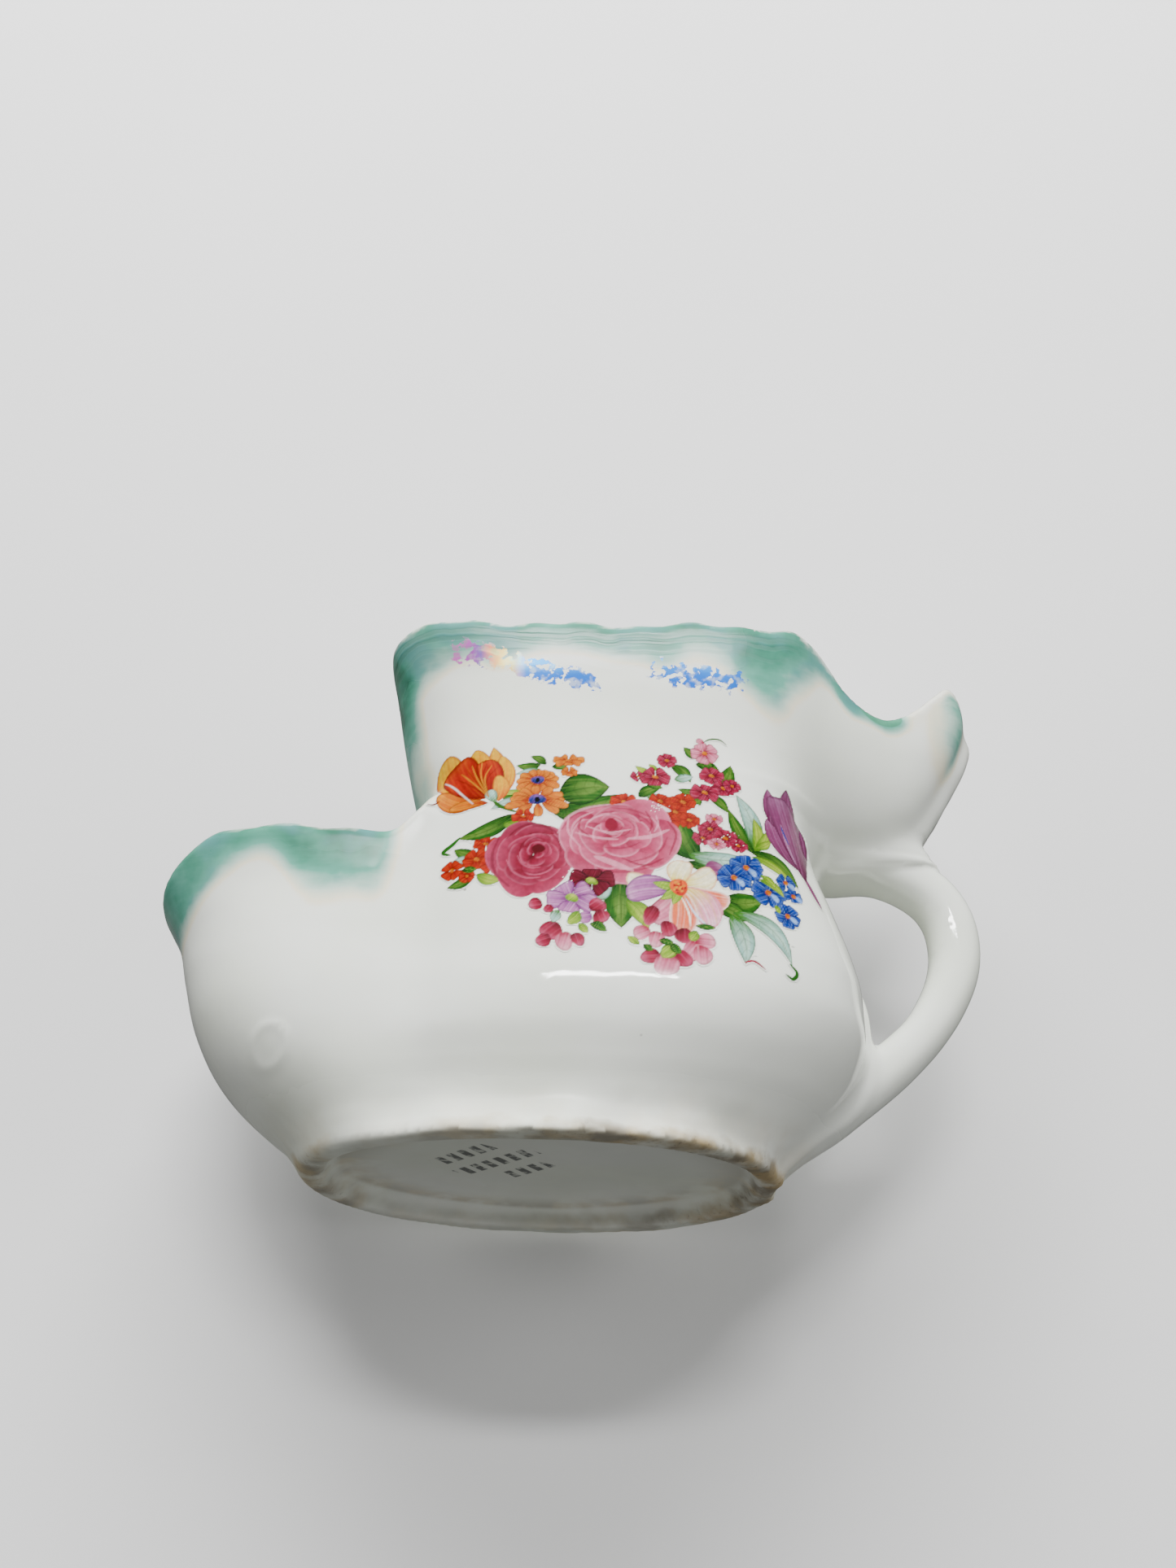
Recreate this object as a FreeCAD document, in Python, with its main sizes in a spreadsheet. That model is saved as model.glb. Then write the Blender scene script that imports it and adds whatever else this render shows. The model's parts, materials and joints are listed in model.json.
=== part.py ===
"""Shaving scuttle mug in glazed porcelain, millimetres.

X runs from the brush pocket (front) to the handle (back), Z is up and the mug
stands on its foot ring at Z = 0. The dimensions in the sheet are measured from
the centre of the foot ring; every finished piece is then moved along X so that
the origin lies under the centre of the whole mug.
"""
import FreeCAD, Part
from math import atan2, cos, pi, radians, sin, sqrt
import os
import Sketcher

Vector = FreeCAD.Vector
XY, XZ = "XY_Plane", "XZ_Plane"
ORIGIN_POINT = (-1, 1)
MAIN_LEVELS = ["foot", "ankle", "lower", "belly", "waist", "shoulder", "throat", "neck", "flare", "rim"]
POCKET_LEVELS = ["foot", "ankle", "lower", "belly", "waist", "flare", "rim"]
LIP_LEVELS = ["base", "curl", "trough", "middle", "flare", "rim"]

doc = FreeCAD.newDocument("ScuttleMug")
sizes = doc.addObject("Spreadsheet::Sheet", "Sizes")
sheet_rows = []


def size(alias, value):
    """Add one driving dimension to the sheet."""
    sheet_rows.append(alias)
    cell = "B%d" % len(sheet_rows)
    sizes.set("A%d" % len(sheet_rows), alias)
    sizes.set(cell, str(value))
    sizes.setAlias(cell, alias)


def outline_sizes(volume, levels):
    """Add the outline of a volume at each named level: where it starts and ends
    along X, how wide it is and how round its corners are."""
    for level, (height, front, back, width, corner) in levels.items():
        size("%s_%s_height" % (volume, level), height)
        size("%s_%s_front" % (volume, level), front)
        size("%s_%s_back" % (volume, level), back)
        size("%s_%s_width" % (volume, level), width)
        size("%s_%s_corner" % (volume, level), corner)


size("wall", 4.0)                   # thickness of the cast shell
size("floor_height", 8.0)           # inside bottom of the water chamber
size("foot_ring", 5.0)              # width of the ring that the mug stands on
size("foot_recess", 3.5)            # depth of the hollow inside the ring
size("origin_shift", 6.94)          # mug centre, from the centre of the foot ring
size("trim_reach", 240.0)           # blocks that trim the casting, larger than the mug
size("lip_floor", 70.5)             # inside bottom of the trough behind the basin
size("tray_top", 72.0)              # where the soap lies
size("tray_thickness", 4.0)
size("drain_diameter", 5.0)
size("drain_spacing", 13.0)         # from the middle hole to the ring of holes
size("drain_count", 6)              # holes in the ring
size("drain_centre", 9.0)           # the middle hole
size("mouth_side_height", 57.5)     # at the sides of the brush pocket
size("mouth_front_height", 46.5)    # at its front, where the brush handle lies
size("mouth_front_end", -72.0)      # the rim climbs from the front's dip
size("mouth_side_start", -53.0)     # to its full height at the sides
size("rim_height", 101.0)
size("slope_start", 51.0)           # the rim drops behind the soap basin
size("saddle_front", 63.5)
size("saddle_back", 69.0)
size("saddle_height", 90.5)
size("horn_height", 102.0)
size("horn_back", 84.0)
size("notch_radius", 9.0)           # dip of the rim between the two horns
size("notch_bottom", 93.0)
size("loop_start_up", 64.3)         # centre line of the handle's upper arm
size("loop_start_across", 44.0)
size("loop_bend", 16.8)             # radius round the fingers' top
size("loop_bend_centre", 62.5)
size("loop_sweep", 29.0)            # slacker radius below it
size("loop_sweep_angle", 54.0)
size("loop_tail", 29.0)             # straight run down to the belly
size("strap_foot_across", 44.0)     # strap luted down the back of the mug
size("strap_foot_up", 5.5)
size("strap_head_across", 51.5)
size("strap_head_up", 62.0)
size("strap_bow", 45.0)
size("thumb_foot_across", 72.5)     # strap up the back lip, the thumb rest
size("thumb_foot_up", 64.0)
size("thumb_head_across", 84.8)
size("thumb_head_up", 95.0)
size("thumb_bow", 120.0)
size("handle_width", 11.0)
size("handle_depth", 9.6)
size("strap_width", 9.5)
size("strap_depth", 5.5)

outline_sizes("main", {
    "foot": (0.0, -43.0, 40.5, 73.0, 31.0),
    "ankle": (5.0, -43.0, 43.0, 69.4, 30.0),
    "lower": (12.0, -40.0, 51.5, 72.4, 28.0),
    "belly": (24.0, -34.0, 57.8, 77.0, 26.0),
    "waist": (42.0, -30.0, 55.0, 72.6, 23.0),
    "shoulder": (62.0, -25.5, 50.0, 69.0, 20.0),
    "throat": (73.0, -28.6, 49.2, 66.0, 19.5),
    "neck": (84.0, -31.4, 50.0, 65.0, 19.0),
    "flare": (94.0, -33.7, 51.2, 66.4, 18.5),
    "rim": (103.0, -35.4, 52.4, 68.0, 18.0),
})
outline_sizes("pocket", {
    "foot": (0.0, -42.0, 0.0, 56.0, 20.0),
    "ankle": (5.0, -45.5, 0.0, 57.0, 21.0),
    "lower": (12.0, -54.0, 0.0, 61.0, 23.0),
    "belly": (24.0, -63.0, 0.0, 63.0, 24.0),
    "waist": (38.0, -68.5, 0.0, 60.0, 23.0),
    "flare": (48.0, -74.5, 0.0, 58.0, 22.0),
    "rim": (57.5, -77.5, 0.0, 58.0, 21.0),
})
outline_sizes("lip", {
    "base": (63.5, 34.0, 54.0, 16.0, 7.0),
    "curl": (67.5, 34.0, 66.0, 25.0, 11.0),
    "trough": (73.0, 34.0, 73.5, 31.0, 14.0),
    "middle": (84.0, 34.0, 81.0, 35.0, 15.0),
    "flare": (94.0, 34.0, 85.0, 33.0, 14.5),
    "rim": (103.0, 34.0, 87.4, 30.0, 13.0),
})
doc.recompute()


def value(alias):
    """The number in the sheet under an alias."""
    return float(sizes.get(alias))


def plane(body, role):
    """One of a body's own origin planes."""
    return [item for item in body.Origin.OriginFeatures if item.Role == role][0]


def new_sketch(body, name, role):
    """An empty sketch on one of the body's origin planes."""
    sketch = body.newObject("Sketcher::SketchObject", name)
    sketch.AttachmentSupport = [(plane(body, role), "")]
    sketch.MapMode = "FlatFace"
    return sketch


def number(expression):
    """What an expression on the sheet comes to."""
    return float(sizes.evalExpression(expression))


def bind(sketch, kind, elements, name, expression):
    """Add a constraint of one size, driven by an expression on the sheet."""
    constraint = Sketcher.Constraint(kind, *elements, number(expression))
    index = sketch.addConstraint(constraint)
    sketch.renameConstraint(index, name)
    sketch.setExpression("Constraints." + name, expression)


def rounded_rectangle(sketch, length, width, corner):
    """A rectangle with round corners about the sketch's origin; its sizes are
    expressions on the sheet. Sides are even elements, corners odd ones."""
    a, b, r = number(length) / 2, number(width) / 2, number(corner)
    ends = [(a - r, b), (r - a, b), (-a, b - r), (-a, r - b), (r - a, -b), (a - r, -b), (a, r - b), (a, b - r)]
    centres = [(r - a, b - r), (r - a, r - b), (a - r, r - b), (a - r, b - r)]
    for side in range(4):
        first, last = [Vector(*end, 0) for end in ends[2 * side:2 * side + 2]]
        sketch.addGeometry(Part.LineSegment(first, last))
        circle = Part.Circle(Vector(*centres[side], 0), Vector(0, 0, 1), r)
        sketch.addGeometry(Part.ArcOfCircle(circle, pi / 2 * (side + 1), pi / 2 * (side + 2)))
    for side in range(4):
        line, arc, next_line = 2 * side, 2 * side + 1, (2 * side + 2) % 8
        sketch.addConstraint(Sketcher.Constraint("Tangent", line, 2, arc, 1))
        sketch.addConstraint(Sketcher.Constraint("Tangent", arc, 2, next_line, 1))
        sketch.addConstraint(Sketcher.Constraint("Vertical" if side % 2 else "Horizontal", line))
    for arc in (3, 5, 7):
        sketch.addConstraint(Sketcher.Constraint("Equal", 1, arc))
    sketch.addConstraint(Sketcher.Constraint("Symmetric", 1, 3, 5, 3, *ORIGIN_POINT))
    bind(sketch, "DistanceX", (2, 1, 6, 1), "length", length)
    bind(sketch, "DistanceY", (4, 1, 0, 1), "width", width)
    bind(sketch, "Radius", (1,), "corner", corner)


def level_sketch(body, volume, level, inset, height):
    """The outline of a volume at one level, drawn in by inset on every side."""
    stem = "Sizes.%s_%s_" % (volume, level)
    sketch = new_sketch(body, "%s_%s" % (body.Name, level), XY)
    sketch.setExpression(".AttachmentOffset.Base.x", "(%sfront + %sback) / 2" % (stem, stem))
    sketch.setExpression(".AttachmentOffset.Base.z", height or stem + "height")
    rounded_rectangle(
        sketch,
        "%sback - %sfront - 2 * %s" % (stem, stem, inset),
        "%swidth - 2 * %s" % (stem, inset),
        "%scorner - %s" % (stem, inset))
    return sketch


def lofted_body(name, volume, levels, inset="0", bottom=None):
    """A solid lofted through the outlines of a volume at the named levels. The
    lowest one can be given another height, which is an expression."""
    body = doc.addObject("PartDesign::Body", name)
    outlines = [level_sketch(body, volume, levels[0], inset, bottom)]
    for level in levels[1:]:
        outlines.append(level_sketch(body, volume, level, inset, None))
    loft = body.newObject("PartDesign::AdditiveLoft", name + "_loft")
    loft.Profile = outlines[0]
    loft.Sections = outlines[1:]
    doc.recompute()
    return body


def boolean(kind, name, *operands):
    """A Part boolean: a cut of the second from the first, what both share, or
    a fuse of several."""
    result = doc.addObject("Part::" + kind, name)
    if kind == "MultiFuse":
        result.Shapes = list(operands)
    else:
        result.Base, result.Tool = operands
    doc.recompute()
    return result


def side_outline(name, points):
    """A block as deep as the mug and more, whose side view is the polygon
    through the points, each a pair of expressions for X and Z."""
    body = doc.addObject("PartDesign::Body", name)
    sketch = new_sketch(body, name + "_outline", XZ)
    corners = [Vector(number(across), number(up), 0) for across, up in points]
    for index, corner in enumerate(corners):
        sketch.addGeometry(Part.LineSegment(corner, corners[(index + 1) % len(corners)]))
    for index, (across, up) in enumerate(points):
        sketch.addConstraint(Sketcher.Constraint("Coincident", index - 1 if index else len(points) - 1, 2, index, 1))
        bind(sketch, "DistanceX", ORIGIN_POINT + (index, 1), "across_%d" % index, across)
        bind(sketch, "DistanceY", ORIGIN_POINT + (index, 1), "up_%d" % index, up)
    pad = body.newObject("PartDesign::Pad", name + "_pad")
    pad.Profile = sketch
    pad.Midplane = True
    pad.setExpression("Length", "Sizes.trim_reach")
    doc.recompute()
    return body


def make_outside():
    """The outer form of the casting: chamber and basin, pocket, back lip."""
    main = lofted_body("main_outside", "main", MAIN_LEVELS)
    pocket = lofted_body("pocket_outside", "pocket", POCKET_LEVELS)
    lip = lofted_body("lip_outside", "lip", LIP_LEVELS)
    return boolean("MultiFuse", "outside", main, pocket, lip)


def make_inside():
    """The hollow of the casting, one wall thickness inside the outer form."""
    floor = "Sizes.floor_height"
    main = lofted_body("main_inside", "main", MAIN_LEVELS[1:], "Sizes.wall", floor)
    pocket = lofted_body("pocket_inside", "pocket", POCKET_LEVELS[1:], "Sizes.wall", floor)
    lip = lofted_body("lip_inside", "lip", LIP_LEVELS[1:], "Sizes.wall", "Sizes.lip_floor")
    return main, boolean("MultiFuse", "inside", main, pocket, lip)


def make_rim_trims():
    """What is taken off above the rims, as seen from the side: a level rim
    that drops to a saddle and rises to the horns, and the pocket's dip."""
    top, far = "Sizes.trim_reach", "Sizes.trim_reach / 2"
    basin = side_outline("basin_trim", [
        ("-%s" % far, "Sizes.rim_height"),
        ("Sizes.slope_start", "Sizes.rim_height"),
        ("Sizes.saddle_front", "Sizes.saddle_height"),
        ("Sizes.saddle_back", "Sizes.saddle_height"),
        ("Sizes.horn_back", "Sizes.horn_height"),
        (far, "Sizes.horn_height"),
        (far, top),
        ("-%s" % far, top)])
    pocket = side_outline("pocket_trim", [
        ("-%s" % far, "Sizes.mouth_front_height"),
        ("Sizes.mouth_front_end", "Sizes.mouth_front_height"),
        ("Sizes.mouth_side_start", "Sizes.mouth_side_height"),
        ("Sizes.mouth_side_start", "Sizes.rim_height"),
        ("-%s" % far, "Sizes.rim_height")])
    return basin, pocket


def make_notch():
    """The dip of the rim between the two horns, a cylinder along X."""
    notch = doc.addObject("Part::Cylinder", "horn_notch")
    notch.setExpression("Radius", "Sizes.notch_radius")
    notch.setExpression("Height", "Sizes.trim_reach")
    notch.setExpression(".Placement.Base.x", "Sizes.saddle_back")
    notch.setExpression(".Placement.Base.z", "Sizes.notch_bottom + Sizes.notch_radius")
    notch.Placement.Rotation = FreeCAD.Rotation(Vector(0, 1, 0), 90)
    return notch


def make_foot_hollow():
    """The shallow recess under the mug, inside the foot ring."""
    body = doc.addObject("PartDesign::Body", "foot_hollow")
    sketch = level_sketch(body, "main", "foot", "Sizes.foot_ring", None)
    pad = body.newObject("PartDesign::Pad", "foot_hollow_pad")
    pad.Profile = sketch
    pad.setExpression("Length", "Sizes.foot_recess")
    doc.recompute()
    return body


def make_tray(hollow):
    """The strainer floor of the soap basin: a plate that fills the casting
    from wall to wall, with a ring of drain holes about a middle one."""
    plate = doc.addObject("Part::Box", "tray_plate")
    plate.setExpression("Length", "Sizes.trim_reach")
    plate.setExpression("Width", "Sizes.trim_reach")
    plate.setExpression("Height", "Sizes.tray_thickness")
    plate.setExpression(".Placement.Base.x", "-Sizes.trim_reach / 2")
    plate.setExpression(".Placement.Base.y", "-Sizes.trim_reach / 2")
    plate.setExpression(".Placement.Base.z", "Sizes.tray_top - Sizes.tray_thickness")
    blank = boolean("Common", "tray_blank", plate, hollow)
    holes = []
    for index in range(int(value("drain_count")) + 1):
        hole = doc.addObject("Part::Cylinder", "drain_%d" % index)
        hole.setExpression("Radius", "Sizes.drain_diameter / 2")
        hole.setExpression("Height", "Sizes.tray_top")
        angle = "%d * 360 deg / Sizes.drain_count" % index
        reach = "Sizes.drain_spacing" if index < int(value("drain_count")) else "0"
        hole.setExpression(".Placement.Base.x", "Sizes.drain_centre + %s * cos(%s)" % (reach, angle))
        hole.setExpression(".Placement.Base.y", "%s * sin(%s)" % (reach, angle))
        hole.setExpression(".Placement.Base.z", "Sizes.tray_top / 2")
        holes.append(hole)
    return boolean("Cut", "soap_tray", blank, boolean("MultiFuse", "drains", *holes))


def side_path(name):
    """An empty sketch in the side plane, for the path of a handle strip."""
    path = doc.addObject("Sketcher::SketchObject", name)
    path.Placement = FreeCAD.Placement(Vector(), FreeCAD.Rotation(Vector(1, 0, 0), 90))
    return path


def point_at(path, element, end, across, up):
    """Hold one end of a path's element at a place given by the sheet."""
    for kind, axis, place in (("DistanceX", "across", across), ("DistanceY", "up", up)):
        bind(path, kind, ORIGIN_POINT + (element, end), "%s_%d_%d" % (axis, element, end), place)


def loop_path():
    """The finger loop's centre line: a level upper arm, a tight bend, a slacker
    sweep and a straight tail, each tangent to the next."""
    path = side_path("loop_path")
    top, bend, sweep = value("loop_start_up"), value("loop_bend"), value("loop_sweep")
    bend_x, turn, tail = value("loop_bend_centre"), radians(value("loop_sweep_angle")), value("loop_tail")
    sweep_x = bend_x + bend - sweep
    tail_start = Vector(sweep_x + sweep * cos(turn), top - bend - sweep * sin(turn), 0)
    tail_end = tail_start - Vector(sin(turn), cos(turn), 0) * tail
    facing = Vector(0, 0, 1)
    path.addGeometry(Part.LineSegment(Vector(value("loop_start_across"), top, 0), Vector(bend_x, top, 0)))
    path.addGeometry(Part.ArcOfCircle(Part.Circle(Vector(bend_x, top - bend, 0), facing, bend), 0, pi / 2))
    path.addGeometry(Part.ArcOfCircle(Part.Circle(Vector(sweep_x, top - bend, 0), facing, sweep), -turn, 0))
    path.addGeometry(Part.LineSegment(tail_start, tail_end))
    path.addConstraint(Sketcher.Constraint("Horizontal", 0))
    path.addConstraint(Sketcher.Constraint("Tangent", 0, 2, 1, 2))
    path.addConstraint(Sketcher.Constraint("Tangent", 1, 1, 2, 2))
    path.addConstraint(Sketcher.Constraint("Tangent", 2, 1, 3, 1))
    path.addConstraint(Sketcher.Constraint("Horizontal", 1, 3, 1, 1))
    point_at(path, 0, 1, "Sizes.loop_start_across", "Sizes.loop_start_up")
    bind(path, "DistanceX", ORIGIN_POINT + (0, 2), "bend_across", "Sizes.loop_bend_centre")
    bind(path, "Radius", (1,), "bend", "Sizes.loop_bend")
    bind(path, "Radius", (2,), "sweep", "Sizes.loop_sweep")
    bind(path, "Distance", (3,), "tail", "Sizes.loop_tail")
    bind(path, "DistanceX", (3, 2, 3, 1), "tail_across", "Sizes.loop_tail * sin(Sizes.loop_sweep_angle * 1 deg)")
    return path, Vector(1, 0, 0)


def bow_path(name):
    """One arc from a strap's foot to its head, bowed towards the handle."""
    path = side_path(name + "_path")
    foot = Vector(value(name + "_foot_across"), value(name + "_foot_up"), 0)
    head = Vector(value(name + "_head_across"), value(name + "_head_up"), 0)
    radius, chord = value(name + "_bow"), head - foot
    across_chord = Vector(-chord.y, chord.x, 0).normalize()
    centre = (foot + head) / 2 + across_chord * sqrt(radius ** 2 - chord.Length ** 2 / 4)
    angles = [atan2(point.y - centre.y, point.x - centre.x) for point in (foot, head)]
    path.addGeometry(Part.ArcOfCircle(Part.Circle(centre, Vector(0, 0, 1), radius), *angles))
    for end, label in enumerate(("foot", "head"), 1):
        point_at(path, 0, end, "Sizes.%s_%s_across" % (name, label), "Sizes.%s_%s_up" % (name, label))
    bind(path, "Radius", (0,), "bow", "Sizes.%s_bow" % name)
    spoke = foot - centre
    return path, Vector(-spoke.y, 0, spoke.x).normalize()


def strip(name, path, heading, start, width, depth):
    """A handle strip of oval section, swept along its path from start."""
    section = doc.addObject("Part::Ellipse", name + "_section")
    section.setExpression("MajorRadius", "Sizes.%s / 2" % width)
    section.setExpression("MinorRadius", "Sizes.%s / 2" % depth)
    broad = Vector(0, 1, 0)
    turned = FreeCAD.Rotation(broad, heading.cross(broad), heading, "XYZ")
    section.Placement = FreeCAD.Placement(Vector(value(start + "_across"), 0, value(start + "_up")), turned)
    sweep = doc.addObject("Part::Sweep", name)
    sweep.Sections = [section]
    sweep.Spine = (path, ["Edge%d" % number for number in range(1, path.GeometryCount + 1)])
    sweep.Solid = True
    doc.recompute()
    return sweep


def make_handle(outside):
    """The handle casting: finger loop, strap down the mug's back and thumb rest
    up its lip, shaped to sit face to face on the outside of the mug."""
    loop, heading = loop_path()
    strips = [strip("loop", loop, heading, "loop_start", "handle_width", "handle_depth")]
    for name in ("strap", "thumb"):
        path, heading = bow_path(name)
        strips.append(strip(name, path, heading, name + "_foot", "strap_width", "strap_depth"))
    return boolean("Cut", "handle", boolean("MultiFuse", "handle_blank", *strips), outside)


def make_body(outside, inside):
    """The cast shell, with its rims trimmed and its foot hollowed."""
    basin_trim, pocket_trim = make_rim_trims()
    taken = boolean("MultiFuse", "taken", inside, basin_trim, pocket_trim, make_notch(), make_foot_hollow())
    return boolean("Cut", "body", outside, taken)


def finish(piece, label):
    """Move a finished piece so that the mug's centre is over the origin, check
    it and write it."""
    piece.Label = label
    piece.setExpression(".Placement.Base.x", "-Sizes.origin_shift")
    doc.recompute()
    for item in doc.Objects:
        if "Invalid" in item.State or "Error" in item.State:
            raise RuntimeError("%s failed: %s" % (item.Name, item.State))
    shape = piece.Shape
    if shape.isNull() or not shape.isValid() or not shape.Solids:
        raise RuntimeError("%s has no valid solid" % label)
    box = shape.BoundBox
    print("%-10s %d solid, %8.0f mm3, X %.1f to %.1f, Y %.1f to %.1f, Z %.1f to %.1f" % (
        label, len(shape.Solids), shape.Volume, box.XMin, box.XMax, box.YMin, box.YMax, box.ZMin, box.ZMax))
    shape.exportStep("parts/%s.step" % label)


outside = make_outside()
main_inside, inside = make_inside()
body = make_body(outside, inside)
tray = make_tray(main_inside)
handle = make_handle(outside)

os.makedirs("parts", exist_ok=True)
finish(body, "body")
finish(tray, "soap_tray")
finish(handle, "handle")
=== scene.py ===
"""Looks of a glazed porcelain shaving scuttle mug.

The mug's form is written as a field in millimetres about the centre of its foot
ring: negative inside the porcelain, zero on the glaze. The field is meshed, then
split where the handle casting was luted to the body. The printed flowers are a
thin skin that is painted in code on the finished form.
"""
import json
import math
from functools import cached_property

import bpy
import numpy as np
from mathutils import Matrix, Vector


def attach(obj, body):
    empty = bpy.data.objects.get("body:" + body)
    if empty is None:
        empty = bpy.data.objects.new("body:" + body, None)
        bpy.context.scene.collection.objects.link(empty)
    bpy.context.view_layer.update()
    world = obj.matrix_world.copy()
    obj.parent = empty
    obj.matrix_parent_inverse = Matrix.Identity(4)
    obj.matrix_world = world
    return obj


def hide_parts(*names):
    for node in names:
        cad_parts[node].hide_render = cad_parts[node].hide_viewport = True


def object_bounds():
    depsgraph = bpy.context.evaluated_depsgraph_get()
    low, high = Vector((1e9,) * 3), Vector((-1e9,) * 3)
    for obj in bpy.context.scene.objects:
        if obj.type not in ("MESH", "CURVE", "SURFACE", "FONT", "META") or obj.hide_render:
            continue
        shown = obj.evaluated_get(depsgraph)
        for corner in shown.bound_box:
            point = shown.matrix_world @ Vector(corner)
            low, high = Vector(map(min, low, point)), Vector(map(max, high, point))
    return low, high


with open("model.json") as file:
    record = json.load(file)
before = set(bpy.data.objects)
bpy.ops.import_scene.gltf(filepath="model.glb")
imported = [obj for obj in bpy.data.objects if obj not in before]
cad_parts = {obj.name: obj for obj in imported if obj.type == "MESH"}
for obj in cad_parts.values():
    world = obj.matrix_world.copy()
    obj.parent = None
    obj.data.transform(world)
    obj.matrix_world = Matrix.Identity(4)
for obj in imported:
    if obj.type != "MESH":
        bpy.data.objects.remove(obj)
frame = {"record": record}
cad_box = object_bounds()
MM = 0.001
foot = [mount for mount in frame["record"]["mounts"] if mount["name"] == "foot"][0]
FOOT_X = foot["pos_m"][0] / MM
HEIGHT = cad_box[1][2] / MM - 1.0  # the basin's rim, one below the horns


# ---- curves and blends ----

def cubic(u, first, last, leaving, arriving):
    """Goes from first to last as u goes from 0 to 1, with these slopes at its ends."""
    return (first * (1 + 2 * u) * (1 - u) ** 2 + leaving * u * (1 - u) ** 2
            + last * u * u * (3 - 2 * u) + arriving * u * u * (u - 1))


def curve(at, knots):
    """A smooth curve through (place, value) knots, level beyond the last ones."""
    places, values = np.array(knots, float).T
    steps = np.diff(values) / np.diff(places)
    slopes = np.concatenate([[steps[0]], (steps[1:] + steps[:-1]) / 2, [steps[-1]]])
    flat = steps[1:] * steps[:-1] <= 0
    slopes[1:-1][flat] = 0
    at = np.clip(at, places[0], places[-1])
    i = np.clip(np.searchsorted(places, at, side="right") - 1, 0, len(steps) - 1)
    width = places[i + 1] - places[i]
    u = (at - places[i]) / width
    return cubic(u, values[i], values[i + 1], slopes[i] * width, slopes[i + 1] * width)


def curve_through(at, values):
    """A curve through evenly spaced values that doesn't flatten at its peaks."""
    slopes = np.gradient(values)
    i = np.clip(at.astype(int), 0, len(values) - 2)
    return cubic(at - i, values[i], values[i + 1], slopes[i], slopes[i + 1])


def rounded_path(points, per_span):
    """A smooth path through points, with the place along it counted in spans."""
    fine = np.linspace(0, len(points) - 1, (len(points) - 1) * per_span + 1)
    across, up = np.array(points, float).T
    return curve_through(fine, across), curve_through(fine, up), fine


def runs(path, x, z):
    """For each straight run of a path: how far the points are from it, and where along the path."""
    path_x, path_z, place = path
    for i in range(len(place) - 1):
        run_x, run_z = path_x[i + 1] - path_x[i], path_z[i + 1] - path_z[i]
        u = ((x - path_x[i]) * run_x + (z - path_z[i]) * run_z) / (run_x ** 2 + run_z ** 2)
        u = np.clip(u, 0, 1)
        gap = np.hypot(x - path_x[i] - u * run_x, z - path_z[i] - u * run_z)
        yield gap, place[i] + u * (place[i + 1] - place[i])


def step(at, low, high):
    """Rises smoothly from 0 at low to 1 at high."""
    u = np.clip((at - low) / (high - low), 0, 1)
    return u * u * (3 - 2 * u)


def join(a, b, radius):
    """Union of two fields with a fillet."""
    near = np.maximum(radius - np.abs(a - b), 0) / radius
    return np.minimum(a, b) - near * near * radius / 4


def cut(a, b, radius):
    """What both fields hold, with a rounded edge."""
    return -join(-a, -b, radius)


# ---- the mug's volumes ----

# places along X and half widths along Y at each height; SQUARE is a section's exponent, 2 for an ellipse
MAIN_FRONT = [
    (0, -39.2), (5, -40.4), (12, -39.5), (24, -34.5), (42, -31), (56, -27.5), (63, -25.5), (73, -28.4),
    (84, -31.2), (94, -33.4), (103, -35.5)]
MAIN_BACK = [
    (0, 40.9), (2.5, 41.3), (5, 43.2), (8, 46.6), (12, 51.2), (18, 55.6), (24, 57.4), (30, 57.4),
    (36, 56.3), (44, 53.8), (54, 50.6), (63, 49.2), (73, 49.2), (84, 50), (94, 51.2), (103, 52.4)]
MAIN_HALF = [
    (0, 36.8), (1.5, 35.8), (3.5, 34.5), (5.8, 33.9), (8.5, 34.4), (12.5, 36.0), (17.5, 37.8),
    (24, 38.5), (31, 37.7), (42, 36.2), (62, 34.4), (78, 32.6), (88, 32.4), (96, 33.4), (103, 34.8)]
MAIN_SQUARE = [(0, 2.15), (24, 2.7), (45, 3.1), (70, 3.6), (84, 4.1), (92, 4.9), (98, 6.2), (104, 7.5)]

POCKET_FRONT = [
    (0, -39), (3, -42), (8, -49.4), (14, -56.6), (22, -62.2), (31, -65.8), (38, -68.2), (43, -71.4),
    (48, -74.8), (52, -76.2), (58, -77.2)]
POCKET_HALF = [
    (0, 24), (6, 27.5), (14, 30.5), (24, 31.6), (36, 30.6), (46, 29.6), (52, 29.9), (58, 30.6)]
POCKET_SQUARE = [(0, 2.05), (24, 2.6), (45, 3.0), (58, 3.2)]

LIP_BACK = [
    (48, 34), (54, 38), (59, 43.6), (63, 52.6), (65, 60), (67.5, 67.2), (71, 72.4), (76, 76.6),
    (82, 80.4), (88, 84.0), (93, 86.2), (98, 87.2), (105, 87.0)]
LIP_FLARE = [
    (48, 0.1), (54, 0.14), (59, 0.23), (64, 0.45), (68, 0.66), (74, 0.84), (82, 0.96), (90, 1.0),
    (103, 1.0)]
LIP_TAPER = [(34, 30), (46, 28.5), (54, 24.5), (61, 20.5), (68, 17.3), (76, 15.6), (84, 14.4), (92, 14)]

# heights along X: of the rim, from its level, and of the pocket's mouth, from the ground
RIM_EDGE = [
    (45, 0), (50, -0.1), (52.5, -0.7), (55, -2.6), (58, -5.8), (62, -8.5), (66, -9.4), (70, -8.2),
    (75, -4.6), (79.5, 0), (83, 3.4), (86, 4.2)]
MOUTH_EDGE = [
    (-77, 43.2), (-74, 44.4), (-70, 47.8), (-66, 51.2), (-61, 53.9), (-55, 55.3), (-46, 55.7),
    (-38, 55.2), (-33, 54.9), (-29.5, 55.1), (-27, 56.0), (-24.8, 58.0), (-22, 61)]

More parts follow.
